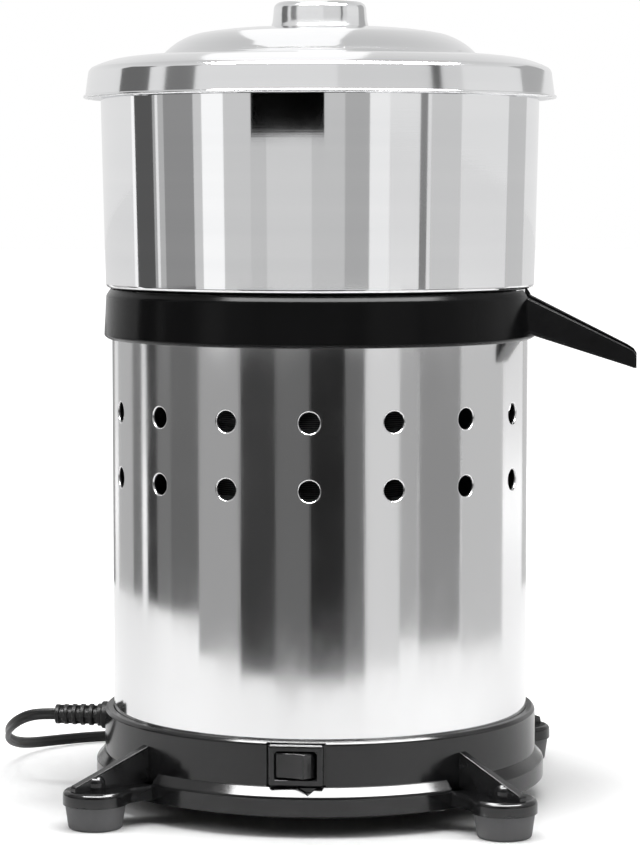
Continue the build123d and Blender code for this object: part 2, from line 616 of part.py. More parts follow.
def make_stator_core():
    low, high = STATOR_Z
    core = turned((STATOR_BORE, low), (MOTOR_R, low), (MOTOR_R, high), (STATOR_BORE, high))
    slot_r, slot_w, mouth_w = STATOR_SLOT
    slot = block((STATOR_BORE + 2, slot_r), (-slot_w / 2, slot_w / 2), (low - 1, high + 1))
    slot += block((STATOR_BORE - 1, STATOR_BORE + 3), (-mouth_w / 2, mouth_w / 2), (low - 1, high + 1))
    core -= ring_of(slot, STATOR_SLOTS)
    for angle in ARM_ANGLES:
        core -= rod(MOTOR_BOLT_R + SCREW_PLAY, low - 1, high + 1, *on_plan(MOTOR_BOLT_CIRCLE, angle))
    return core


def make_stator_windings():
    inner, outer = WINDING_R
    edge_r, edge_h = WINDING_EDGE
    rings = []
    for start, way in zip(STATOR_Z, (-1, 1)):
        shoulder, end = start + way * (WINDING_H - edge_h), start + way * WINDING_H
        rings.append(turned((inner, start), (outer, start), (outer, shoulder), (outer - edge_r, end),
                            (inner + edge_r, end), (inner, shoulder)))
    return rings


def make_bearing_outer(bottom):
    return turned((BEARING_GAP[1], bottom), (BEARING_R, bottom), (BEARING_R, bottom + BEARING_W),
                  (BEARING_GAP[1], bottom + BEARING_W))


def make_bearing_inner(bottom):
    return turned((BEARING_BORE_R, bottom), (BEARING_GAP[0], bottom), (BEARING_GAP[0], bottom + BEARING_W),
                  (BEARING_BORE_R, bottom + BEARING_W))


def make_motor_shaft():
    collar_r, collar_low, collar_high = SHAFT_COLLAR
    seat_low, seat_high = BEARING_Z[0] + BEARING_W, BEARING_Z[1]
    shaft = turned((0, SHAFT_BOTTOM), (SHAFT_R, SHAFT_BOTTOM), (SHAFT_R, seat_low), (SHAFT_SEAT_R, seat_low),
                   (SHAFT_SEAT_R, seat_high), (SHAFT_R, seat_high), (SHAFT_R, collar_low),
                   (collar_r, collar_low), (collar_r, collar_high), (SHAFT_R, collar_high),
                   (SHAFT_R, SHAFT_TOP - 1), (SHAFT_R - 1, SHAFT_TOP), (0, SHAFT_TOP))
    return shaft - block((SHAFT_FLAT, SHAFT_R + 1), (-SHAFT_R, SHAFT_R), (collar_high, SHAFT_TOP + 1))


def make_rotor_core():
    low, high = STATOR_Z
    bottom, top, ring_r = low - ROTOR_RING[1], high + ROTOR_RING[1], ROTOR_R - ROTOR_RING[0]
    return turned((SHAFT_SEAT_R, bottom), (ring_r, bottom), (ring_r, low), (ROTOR_R, low), (ROTOR_R, high),
                  (ring_r, high), (ring_r, top), (SHAFT_SEAT_R, top))


def make_cooling_fan():
    low = SHAFT_BOTTOM + 2
    disc, top = low + FAN_H - FAN_DISC_T, low + FAN_H
    fan = turned((SHAFT_R, low), (FAN_HUB_R, low), (FAN_HUB_R, disc), (FAN_R, disc), (FAN_R, top),
                 (SHAFT_R, top))
    blade = block((FAN_HUB_R - 1, FAN_R - 1), (-1, 1), (low + 1, disc + 0.5))
    return fan + ring_of(blade, FAN_BLADES)


def make_run_capacitor():
    floor = COVER_BOTTOM + COVER_T
    top = floor + CAPACITOR_H
    can = turned((0, floor), (CAPACITOR_R - 0.1, floor), (CAPACITOR_R - 0.1, top - 2), (CAPACITOR_R - 2, top),
                 (0, top))
    tab_w, tab_t, tab_l, tab_x = CAPACITOR_TAB
    tab = block((-tab_w / 2, tab_w / 2), (-tab_t / 2, tab_t / 2), (top - 1, top + tab_l))
    return Pos(0, CAPACITOR_Y, 0) * (can + Pos(-tab_x, 0, 0) * tab + Pos(tab_x, 0, 0) * tab)


def make_spout():
    """Open chute that falls away from the tray wall, and the channel cut in it."""
    side = make_face(Polyline(*SPOUT_UPPER, *SPOUT_LOWER, close=True))
    root_w, tip_w = SPOUT_W
    plan = make_face(Polyline((SPOUT_ROOT, -root_w), (SPOUT_TIP, -tip_w), (SPOUT_TIP, tip_w),
                              (SPOUT_ROOT, root_w), close=True))
    low, high = SPOUT_LOWER[0][1] - 1, HUB_TOP
    chute = extrude(Plane.XZ * side, root_w + 1, both=True) & Pos(0, 0, low) * extrude(plan, high - low)
    chute = fillet([edge for edge in chute.edges() if edge.center().Z < SPOUT_UPPER[1][1] and edge.length > 40
                    and abs(edge.center().Y) > tip_w / 2], SPOUT_ROUND)
    start, end = TRAY_BORE_R - 6, SPOUT_RUN_END[0]
    run_side = make_face(Polyline((start, TRAY_FLOOR), (SPOUT_ROOT - 1, TRAY_FLOOR), SPOUT_RUN_END,
                                  (end, high), (start, high), close=True))
    half_root, half_tip = root_w - SPOUT_WALL, tip_w - SPOUT_WALL
    run_plan = make_face(Polyline((start, -half_root), (SPOUT_ROOT, -half_root), (end, -half_tip),
                                  (end, half_tip), (SPOUT_ROOT, half_root), (start, half_root), close=True))
    channel = extrude(Plane.XZ * run_side, root_w + 1, both=True)
    channel &= Pos(0, 0, low) * extrude(run_plan, high - low)
    return chute, channel


def make_juice_tray():
    floor_bottom = BODY_TOP + PLATE_T
    bevel_in, bevel_down = TRAY_BEVEL
    tray = turned(
        (HUB_BORE_R, floor_bottom), (HUB_BORE_R, SEAL_BOTTOM), (SEAL_R, SEAL_BOTTOM), (SEAL_R, HUB_TOP),
        (HUB_R - 2, HUB_TOP), (HUB_R, TRAY_FLOOR + 2), (HUB_R + 3, TRAY_FLOOR), (TRAY_BORE_R - 1, TRAY_FLOOR),
        (TRAY_BORE_R, TRAY_FLOOR + 1), (TRAY_BORE_R, TRAY_TOP - 0.6), (TRAY_TOP_R - bevel_in, TRAY_TOP),
        (TRAY_TOP_R, TRAY_TOP - bevel_down), (TRAY_FLARE_R, TRAY_BOTTOM + 1.5),
        (TRAY_FLARE_R - 2, TRAY_BOTTOM), (BODY_R + 0.4, TRAY_BOTTOM), (BODY_R + 0.4, floor_bottom))
    rib_l, rib_t = BOWL_RIB
    rib = block((TRAY_BORE_R - rib_l, TRAY_BORE_R + 0.5), (-rib_t / 2, rib_t / 2),
                (TRAY_FLOOR - 0.5, BOWL_SPIGOT_BOTTOM - 0.3))
    chute, channel = make_spout()
    tray = tray + ring_of(rib, BOWL_RIBS) + chute - channel
    screw_hole = rod(TRAY_SCREW_R, floor_bottom - 1, TRAY_FLOOR + TRAY_SCREW_L + 0.2, TRAY_SCREW_CIRCLE)
    return tray - ring_of(screw_hole, ARM_COUNT, FIRST_ARM)


def make_shaft_seal():
    lip_r, ring_r, top = SHAFT_R + 0.1, SHAFT_R + 2.5, HUB_TOP - 0.5
    return turned((lip_r, SEAL_BOTTOM), (SEAL_R, SEAL_BOTTOM), (SEAL_R, top), (ring_r, top),
                  (ring_r, SEAL_BOTTOM + 2.5), (lip_r, SEAL_BOTTOM + 2))


def make_bowl():
    wall = Polyline((BOWL_TOP_R, BOWL_TOP), (BOWL_BOTTOM_R, BOWL_BOTTOM + BOWL_EDGE),
                    (BOWL_BOTTOM_R - BOWL_EDGE, BOWL_BOTTOM), (BOWL_SPIGOT_R, BOWL_BOTTOM),
                    (BOWL_SPIGOT_R, BOWL_SPIGOT_BOTTOM))
    bowl = spun_sheet(Plane.XZ * wall, Vector(0, 0, BOWL_TOP))
    bead_r = BOWL_TOP_R + BEAD_R / 2
    bead = Pos(bead_r, BOWL_TOP) * RegularPolygon(BEAD_R, BEAD_SIDES)
    return bowl + revolve(Plane.XZ * bead, Axis.Z)


def make_strainer():
    hole_r, hub_r, hub_top = STRAINER_HUB
    sheet = Polyline(
        (hole_r, hub_top), (hub_r, hub_top), (hub_r + 2.5, STRAINER_FLOOR),
        (STRAINER_R - STRAINER_EDGE, STRAINER_FLOOR), (STRAINER_R, STRAINER_FLOOR + STRAINER_EDGE),
        (STRAINER_R + 0.6, STRAINER_RIM_TOP))
    strainer = spun_sheet(Plane.XZ * sheet, Vector(STRAINER_R / 2, 0, BOWL_TOP))
    for radius, count in STRAINER_SLITS:
        slit = block((radius - SLIT_L / 2, radius + SLIT_L / 2), (-SLIT_W / 2, SLIT_W / 2),
                     (STRAINER_FLOOR - 1, STRAINER_FLOOR + WALL + 1))
        strainer -= ring_of(slit, count)
    return strainer


def make_reamer():
    """Fluted cone over a skirt, hollow below, with a bore that fits the flat on the shaft."""
    sections = []
    for height, crest in REAMER_SECTIONS:
        star = []
        for index in range(2 * REAMER_FLUTES):
            angle = math.pi * index / REAMER_FLUTES
            radius = crest * REAMER_VALLEY if index % 2 else crest
            star.append((radius * math.cos(angle), radius * math.sin(angle)))
        sections.append(Pos(0, 0, height) * make_face(Polyline(*star, close=True)))
    cone = loft(sections, ruled=True)
    first = REAMER_SECTIONS[0]
    skirt = turned((0, REAMER_BOTTOM), (REAMER_SKIRT_R - 1, REAMER_BOTTOM),
                   (REAMER_SKIRT_R, REAMER_BOTTOM + 2), (first[1] + 1, first[0]), (0, first[0] + 0.01))
    reamer = skirt + cone
    reamer -= rod(REAMER_RECESS_R, REAMER_BOTTOM - 1, REAMER_SEAT)
    reamer -= turned((REAMER_HUB_R, REAMER_SEAT - 1), (REAMER_RECESS_R, REAMER_SEAT - 1), *REAMER_HOLLOW,
                     (REAMER_HUB_R, REAMER_HOLLOW[1][1]))
    bore = rod(SHAFT_R + REAMER_PLAY, REAMER_SEAT - 1, SHAFT_TOP + 1)
    bore -= block((SHAFT_FLAT + REAMER_PLAY, SHAFT_R + 1), (-SHAFT_R - 1, SHAFT_R + 1),
                  (REAMER_SEAT - 2, SHAFT_TOP + 2))
    return reamer - bore


def make_lid():
    line = Line(LID_RIM, LID_SHOULDER[0]) + ThreePointArc(*LID_SHOULDER)
    line += Polyline(LID_SHOULDER[-1], LID_STEP, LID_DOME[0]) + ThreePointArc(*LID_DOME)
    line += Polyline(LID_DOME[-1], (KNOB_TOP_R, LID_CENTRE), (0, LID_CENTRE))
    lid = spun_sheet(Plane.XZ * line, Vector(0, 0, 0))
    hem_r, hem_z = LID_RIM
    lid += turned((hem_r - 1.0, hem_z), (hem_r + 0.6, hem_z), (hem_r + 0.8, hem_z + 0.9),
                  (hem_r - 0.3, hem_z + 1.8))
    return lid - rod(KNOB_SCREW_R + SCREW_PLAY, LID_CENTRE - 5, LID_CENTRE + 5)


def make_lid_knob():
    outline = make_face(Plane.XZ * Polyline((0, LID_CENTRE + 0.05), (KNOB_BASE_R, LID_CENTRE + 0.05),
                                            (KNOB_TOP_R, KNOB_TOP), (0, KNOB_TOP), close=True))
    knob = revolve(outline, Axis.Z)
    knob = fillet(knob.faces().sort_by(Axis.Z)[-1].edges(), KNOB_EDGE)
    return knob - rod(KNOB_SCREW_R, LID_CENTRE - 1, LID_CENTRE + KNOB_SCREW_L + 0.5)


def make_knob_screw():
    head_r, head_h = KNOB_SCREW_HEAD
    seat = LID_CENTRE - WALL - 0.1
    return rod(head_r, seat - head_h, seat) + rod(KNOB_SCREW_R, seat - 0.1, LID_CENTRE + KNOB_SCREW_L)


def make_nodes():
    nodes = {
        "base_moulding": make_base_moulding(),
        "foot_screws": make_foot_screws(),
        "bottom_cover": make_bottom_cover(),
        "cover_screws": make_cover_screws(),
        "body_shell": make_body_shell(),
        "switch_housing": make_switch_housing(),
        "switch_rocker": make_switch_rocker(),
        "switch_terminals": make_switch_terminals(),
        "strain_relief": make_strain_relief(),
        "cord_lead": cord_run("cord lead", LEAD_ROUTE),
        "cord_coil": make_cord_coil(),
        "cord_tail": make_cord_tail(),
        "coil_tie": make_coil_tie(),
        "plug_body": make_plug_body(),
        "plug_pins": make_plug_pins(),
        "motor_plate": make_motor_plate(),
        "body_bolts": make_body_bolts(),
        "plate_screws": make_plate_screws(),
        "tray_screws": make_tray_screws(),
        "upper_end_shield": make_upper_end_shield(),
        "lower_end_shield": make_lower_end_shield(),
        "motor_bolts": make_motor_bolts(),
        "stator_core": make_stator_core(),
        "stator_windings": make_stator_windings(),
        "lower_bearing_outer": make_bearing_outer(BEARING_Z[0]),
        "lower_bearing_inner": make_bearing_inner(BEARING_Z[0]),
        "upper_bearing_outer": make_bearing_outer(BEARING_Z[1]),
        "upper_bearing_inner": make_bearing_inner(BEARING_Z[1]),
        "motor_shaft": make_motor_shaft(),
        "rotor_core": make_rotor_core(),
        "cooling_fan": make_cooling_fan(),
        "run_capacitor": make_run_capacitor(),
        "juice_tray": make_juice_tray(),
        "shaft_seal": make_shaft_seal(),
        "bowl": make_bowl(),
        "strainer": make_strainer(),
        "reamer": make_reamer(),
        "lid": make_lid(),
        "lid_knob": make_lid_knob(),
        "knob_screw": make_knob_screw(),
    }
    for name, angle in zip(FOOT_NAMES, ARM_ANGLES):
        nodes["rubber_foot_" + name] = make_foot(angle)
    return nodes


os.makedirs("parts", exist_ok=True)
for node_name, shape in make_nodes().items():
    solids = shape if isinstance(shape, list) else [shape]
    export_step(Compound(children=solids) if len(solids) > 1 else solids[0], "parts/" + node_name + ".step")
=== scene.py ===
import bmesh
import bpy
import json
import math
from mathutils import Matrix, Vector


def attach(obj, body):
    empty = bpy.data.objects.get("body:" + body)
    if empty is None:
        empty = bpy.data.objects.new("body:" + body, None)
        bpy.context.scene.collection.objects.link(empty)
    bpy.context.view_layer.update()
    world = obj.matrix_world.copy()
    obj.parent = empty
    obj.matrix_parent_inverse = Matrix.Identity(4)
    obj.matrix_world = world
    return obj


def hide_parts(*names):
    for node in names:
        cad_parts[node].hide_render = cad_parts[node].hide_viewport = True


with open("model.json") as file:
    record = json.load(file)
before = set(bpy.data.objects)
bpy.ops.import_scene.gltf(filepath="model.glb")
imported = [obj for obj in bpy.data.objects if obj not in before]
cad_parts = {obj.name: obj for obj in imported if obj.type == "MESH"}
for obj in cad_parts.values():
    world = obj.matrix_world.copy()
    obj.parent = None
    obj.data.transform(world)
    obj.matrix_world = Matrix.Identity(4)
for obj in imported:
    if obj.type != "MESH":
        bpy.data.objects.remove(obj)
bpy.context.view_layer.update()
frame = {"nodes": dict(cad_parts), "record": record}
scene = bpy.context.scene
scene.view_settings.view_transform = "Standard"
mm = 0.001
slack = 1e-5  # metres, for telling whether a point lies on a face or an edge


def addObject(name, data):
    made = bpy.data.objects.new(name, data)
    scene.collection.objects.link(made)
    return made


def meshObject(name, bm):
    mesh = bpy.data.meshes.new(name)
    bm.to_mesh(mesh)
    bm.free()
    return addObject(name, mesh)


def turned(angle, axis="Z"):
    return Matrix.Rotation(math.radians(angle), 4, axis)


def shifted(x=0, y=0, z=0):
    return Matrix.Translation((x * mm, y * mm, z * mm))


# camera, as the photograph was taken: a little to the right of the switch, at the height of the bowl

cameraSet = {"azimuth": 6, "distance": 1.446, "height": 0.2955, "down": 4.55, "lens": 127.8, "sensor": 36}


def placeCamera(azimuth, distance, height, down, lens, sensor):
    turn = math.radians(azimuth)
    data = bpy.data.cameras.new("photoCamera")
    data.lens, data.sensor_width = lens, sensor
    camera = addObject("photoCamera", data)
    camera.location = (math.sin(turn) * distance, -math.cos(turn) * distance, height)
    camera.rotation_euler = (math.radians(90 - down), 0, turn)
    scene.camera = camera


placeCamera(**cameraSet)
print("camera placed")


# node helpers; a node goes into the tree of the socket that feeds it

def feed(sockets, values):
    # what is a socket itself is linked, any other value is set
    for name, value in values.items():
        if isinstance(value, bpy.types.NodeSocket):
            value.id_data.links.new(value, sockets[name])
        else:
            sockets[name].default_value = value


def addNode(tree, kind, values=(), **settings):
    node = tree.nodes.new("ShaderNode" + kind)
    for name, value in settings.items():
        setattr(node, name, value)
    feed(node.inputs, dict(values))
    return node.outputs


def addMath(operation, first, second, clamp=False):
    tree = (first if isinstance(first, bpy.types.NodeSocket) else second).id_data
    return addNode(tree, "Math", {0: first, 1: second}, operation=operation, use_clamp=clamp)[0]


def plus(first, second):
    return addMath("ADD", first, second)


def times(first, second, clamp=False):
    return addMath("MULTIPLY", first, second, clamp)


def objectVector(tree):
    return addNode(tree, "TexCoord")["Object"]


def addNoise(vector, scale, detail, roughness=0.5):
    return addNode(vector.id_data, "TexNoise", {"Vector": vector, "Scale": scale, "Detail": detail,
                                                "Roughness": roughness})["Fac"]


def addStretch(vector, stretch):
    return addNode(vector.id_data, "Mapping", {"Vector": vector, "Scale": stretch})[0]


def addGrain(vector, stretch, scale, detail):
    return addNoise(addStretch(vector, stretch), scale, detail)


def addLength(vector):
    return addNode(vector.id_data, "VectorMath", {0: vector}, operation="LENGTH")["Value"]


def addReach(vector):
    # distance from the upright axis of the machine
    return addLength(addStretch(vector, (1, 1, 0)))


def addFade(value, start, end, level):
    return addNode(value.id_data, "MapRange", {"Value": value, "From Min": start, "From Max": end, "To Max": level},
                   interpolation_type="SMOOTHSTEP")[0]


def addBump(height, strength, distance, **below):
    return addNode(height.id_data, "Bump", {"Height": height, "Strength": strength, "Distance": distance, **below})[0]


def opaque(colour):
    # one number stands for a grey
    return (*colour, 1) if isinstance(colour, tuple) else (colour, colour, colour, 1)


def addBlend(mask, low, high):
    # a colour between two; sockets 6 and 7 and output 2 are the colour ones
    return addNode(mask.id_data, "Mix", {0: mask, 6: opaque(low), 7: opaque(high)}, data_type="RGBA")[2]


# node groups that several finishes share

def newGroup(name, inputs, *outputs):
    tree = bpy.data.node_groups.new(name, "ShaderNodeTree")
    for socket, value in inputs.items():
        tree.interface.new_socket(socket, in_out="INPUT", socket_type="NodeSocketFloat").default_value = value
    for socket in outputs:
        tree.interface.new_socket(socket, in_out="OUTPUT", socket_type="NodeSocketFloat")
    return tree, tree.nodes.new("NodeGroupInput").outputs, tree.nodes.new("NodeGroupOutput").inputs


def useGroup(tree, group, **values):
    return addNode(tree, "Group", values, node_tree=group)


def makeSpunGrain(fineSpread=9, ringSpread=3):
    # fine rings left by the spinning tool, along a line that runs down the wall and out over the lid
    tree, given, wanted = newGroup("spunGrain", {"Lines": 900, "Broad": 60}, "Fine", "Rings")
    vector = objectVector(tree)
    split = addNode(tree, "SeparateXYZ", {0: vector})
    along = addMath("SUBTRACT", addReach(vector), split["Z"])
    for label, count, spread in (("Fine", "Lines", fineSpread), ("Rings", "Broad", ringSpread)):
        place = addNode(tree, "CombineXYZ", {"X": times(along, given[count]),
                                             "Y": times(split["X"], spread),
                                             "Z": times(split["Y"], spread)})[0]
        feed(wanted, {label: addNoise(place, scale=1, detail=2)})
    return tree


def makeHandling(smearStretch=(1, 1, 0.35), smearScale=70, low=0.35, high=0.7):
    # cloudy wiping marks and a few finger smudges
    tree, given, wanted = newGroup("handling", {"Scale": 14, "Clean": 0.1, "Marked": 0.2}, "Roughness")
    vector = objectVector(tree)
    cloud = addNoise(vector, given["Scale"], detail=4, roughness=0.6)
    smear = plus(addGrain(vector, smearStretch, smearScale, detail=2), 0.5)
    feed(wanted, {"Roughness": addNode(tree, "MapRange", {
        "Value": times(cloud, smear), "From Min": low, "From Max": high, "To Min": given["Clean"],
        "To Max": given["Marked"]})[0]})
    return tree


def makeMouldGrain():
    # the fine spark texture of a mould and its slow orange peel
    tree, given, wanted = newGroup("mouldGrain", {"Grain": 2600, "Peel": 240, "Share": 0.4}, "Height")
    vector = objectVector(tree)
    grain = times(addNoise(vector, given["Grain"], detail=1), given["Share"])
    feed(wanted, {"Height": plus(grain, addNoise(vector, given["Peel"], detail=2))})
    return tree


def makeEdgeRub():
    # edges that hands and cloths have rubbed, broken up by a noise
    tree, given, wanted = newGroup("edgeRub", {"Start": 0.52, "End": 0.6, "Breakup": 90}, "Mask")
    pointed = addNode(tree, "NewGeometry")["Pointiness"]
    spread = addNode(tree, "MapRange", {"Value": pointed, "From Min": given["Start"], "From Max": given["End"]})[0]
    broken = addNoise(objectVector(tree), given["Breakup"], detail=4, roughness=0.65)
    feed(wanted, {"Mask": times(spread, broken, clamp=True)})
    return tree


def makeDust():
    # dull dust that settles on what faces up
    tree, given, wanted = newGroup("dust", {"Amount": 0.3, "Scale": 60}, "Mask")
    split = addNode(tree, "SeparateXYZ", {0: addNode(tree, "NewGeometry")["Normal"]})
    upward = addMath("MAXIMUM", split["Z"], 0)
    patchy = addNoise(objectVector(tree), given["Scale"], detail=5, roughness=0.7)
    feed(wanted, {"Mask": times(times(upward, patchy), given["Amount"])})
    return tree


spunGrain = makeSpunGrain()
handling = makeHandling()
mouldGrain = makeMouldGrain()
edgeRub = makeEdgeRub()
dust = makeDust()


def addMarks(tree, scale, clean, marked):
    return useGroup(tree, handling, Scale=scale, Clean=clean, Marked=marked)["Roughness"]


def newFinish(name):
    material = bpy.data.materials.new(name)
    material.use_nodes = True
    return material, material.node_tree, material.node_tree.nodes["Principled BSDF"].inputs


# finishes; marks are scale, clean and marked roughness, grains are stretch, scale and detail

bodySteelSet = {
    # inside is a painted shade: a dark colour for the steel inside the tube and in the walls of the vents
    "innerWall": 0.0992, "outerWall": 0.0998, "inside": (0.06, 0.06, 0.062), "outside": (0.84, 0.84, 0.845),
    "tone": ((1, 1, 0.2), 18, 3), "toneShare": 0.1, "marks": (9, 0.075, 0.15), "insideDull": 0.4,
    "wave": ((1, 1, 0.6), 7, 1), "waveBump": (0.5, 0.0012), "polish": ((1, 1, 0.02), 1400, 2),
    "polishBump": (0.05, 0.0001),
}


def makeBodySteel(innerWall, outerWall, inside, outside, tone, toneShare, marks, insideDull, wave, waveBump, polish,
                  polishBump):
    # polished stainless sheet: nearly a mirror, slightly wavy, with wiping marks, and rougher inside the tube; inside
    # the tube and in the vent walls its colour is a painted shade, dark where shade falls
    material, tree, shader = newFinish("polishedBodySteel")
    vector = objectVector(tree)
    # outer is 1 on the outer face of the sheet and 0 inside; below it the colour blends to the painted shade of inside
    outer = addFade(addReach(vector), innerWall, outerWall, 1)
    cloudy = plus(times(addGrain(vector, *tone), toneShare), 1 - toneShare)
    dull = times(addMath("SUBTRACT", 1, outer), insideDull)
    normal = addBump(addGrain(vector, *wave), *waveBump)
    feed(shader, {
        "Metallic": 1, "Base Color": addBlend(times(outer, cloudy), inside, outside),
        "Roughness": plus(addMarks(tree, *marks), dull),
        "Normal": addBump(addGrain(vector, *polish), *polishBump, Normal=normal)})
    return material


coreSteelSet = {"sheets": 320, "distortion": 0.4, "dark": (0.1, 0.1, 0.105), "light": (0.34, 0.34, 0.35),
                "marks": (60, 0.35, 0.55), "bump": (0.4, 0.0002)}


def makeCoreSteel(sheets, distortion, dark, light, marks, bump):
    # stacked sheets of core steel, seen as fine lines round the stack
    material, tree, shader = newFinish("stackedCoreSteel")
    lines = addNode(tree, "TexWave", {"Vector": objectVector(tree), "Scale": sheets, "Distortion": distortion},
                    bands_direction="Z")["Fac"]
    feed(shader, {"Metallic": 1, "Base Color": addBlend(lines, dark, light),
                  "Roughness": addMarks(tree, *marks), "Normal": addBump(lines, *bump)})
    return material


copperSet = {"metallic": 0.85, "coat": 0.6, "wires": 1100, "layers": 200, "dark": (0.32, 0.11, 0.04),
             "light": (0.78, 0.36, 0.16), "marks": (50, 0.25, 0.45), "bump": (0.7, 0.0006)}


def makeWindingCopper(metallic, coat, wires, layers, dark, light, marks, bump):
    # varnished wire wound round the ends of the core
    material, tree, shader = newFinish("varnishedCopper")
    lines = useGroup(tree, spunGrain, Lines=wires, Broad=layers)["Fine"]
    feed(shader, {"Metallic": metallic, "Coat Weight": coat, "Base Color": addBlend(lines, dark, light),
                  "Roughness": addMarks(tree, *marks), "Normal": addBump(lines, *bump)})
    return material


def makeSpunAluminium(name, dark, light, lines, broad, anisotropy, clean, marked, lineRough, lineDepth, ringDepth,
                      markScale=16, lineHeight=0.00012, ringHeight=0.0006, grainTurn=0.25):
    # spun sheet or turned stock: rings from the tool, softer and whiter than the steel
    material, tree, shader = newFinish(name)
    tangent = addNode(tree, "Tangent", direction_type="RADIAL", axis="Z")[0]
    grain = useGroup(tree, spunGrain, Lines=lines, Broad=broad)
    rough = plus(addMarks(tree, markScale, clean, marked), times(grain["Fine"], lineRough))
    normal = addBump(grain["Rings"], ringDepth, ringHeight)
    feed(shader, {
        "Metallic": 1, "Anisotropic": anisotropy, "Anisotropic Rotation": grainTurn, "Tangent": tangent,
        "Base Color": addBlend(grain["Rings"], dark, light), "Roughness": rough,
        "Normal": addBump(grain["Fine"], lineDepth, lineHeight, Normal=normal)})
    return material


def makePlainMetal(name, dark, light, cloud, clean, marked, stretch, grain, depth, markScale=40, grainHeight=0.0002):
    # machined, cast or plated metal inside the housing
    material, tree, shader = newFinish(name)
    vector = objectVector(tree)
    feed(shader, {
        "Metallic": 1, "Base Color": addBlend(addNoise(vector, cloud, detail=4, roughness=0.6), dark, light),
        "Roughness": addMarks(tree, markScale, clean, marked),
        "Normal": addBump(addGrain(vector, stretch, grain, detail=2), depth, grainHeight)})
    return material


def makeMoulded(name, colour, worn, specular, rub, breakup, dusty, cloud, clean, marked, grain, peel, share, depth,
                dustRough=0.5, grainHeight=0.0002):
    # moulded plastic or rubber, with rubbed edges and a little dust
    material, tree, shader = newFinish(name)
    rubbed = times(useGroup(tree, edgeRub, Breakup=breakup)["Mask"], rub)
    settled = useGroup(tree, dust, Amount=dusty)["Mask"]
    skin = useGroup(tree, mouldGrain, Grain=grain, Peel=peel, Share=share)["Height"]
    feed(shader, {
        "Specular IOR Level": specular,
        "Base Color": addBlend(addMath("MAXIMUM", rubbed, settled, True), colour, worn),
        "Roughness": plus(addMarks(tree, cloud, clean, marked), times(settled, dustRough)),
        "Normal": addBump(skin, depth, grainHeight)})
    return material


# material, dark, light, lines, broad, anisotropy, clean, marked, lineRough, lineDepth, ringDepth
paleDark, paleLight = (0.8, 0.805, 0.815), (0.88, 0.88, 0.885)
aluminiumSet = {
    "bowl_aluminium": ("spunBowlAluminium", paleDark, paleLight, 1500, 90, 0.1, 0.032, 0.06, 0.012, 0.012, 0.008),
    "lid_aluminium": ("spunLidAluminium", paleDark, paleLight, 1300, 110, 0.1, 0.07, 0.11, 0.02, 0.012, 0.01),
    "knob_aluminium": ("turnedKnobAluminium", paleDark, paleLight, 2200, 300, 0.3, 0.08, 0.15, 0.04, 0.06, 0.02),
    "strainer_aluminium": ("pressedStrainerAluminium", (0.7, 0.705, 0.715), (0.82, 0.82, 0.825), 900, 80, 0.5,
                           0.22, 0.36, 0.08, 0.2, 0.05),
}

# dark, light, cloud, clean, marked, stretch, grain, depth
metalSet = {
    "screw_steel": ((0.46, 0.46, 0.47), (0.62, 0.62, 0.61), 300, 0.25, 0.42, (1, 1, 1), 2500, 0.15),
    "contact_brass": ((0.7, 0.52, 0.24), (0.83, 0.66, 0.35), 220, 0.16, 0.32, (0.05, 1, 1), 2600, 0.12),
    "plate_steel": ((0.5, 0.5, 0.51), (0.66, 0.66, 0.665), 45, 0.28, 0.45, (0.03, 1, 1), 1800, 0.12),
    "cast_aluminium": ((0.5, 0.505, 0.515), (0.66, 0.66, 0.665), 130, 0.42, 0.6, (1, 1, 1), 900, 0.5),
    "bearing_steel": ((0.62, 0.62, 0.63), (0.76, 0.76, 0.765), 120, 0.12, 0.2, (1, 1, 0.05), 2800, 0.05),
    "capacitor_can": ((0.64, 0.645, 0.655), (0.78, 0.78, 0.785), 70, 0.25, 0.4, (1, 1, 0.03), 2200, 0.1),
    "shaft_steel": ((0.58, 0.58, 0.59), (0.72, 0.72, 0.725), 90, 0.16, 0.28, (0.05, 0.05, 1), 3000, 0.08),
}

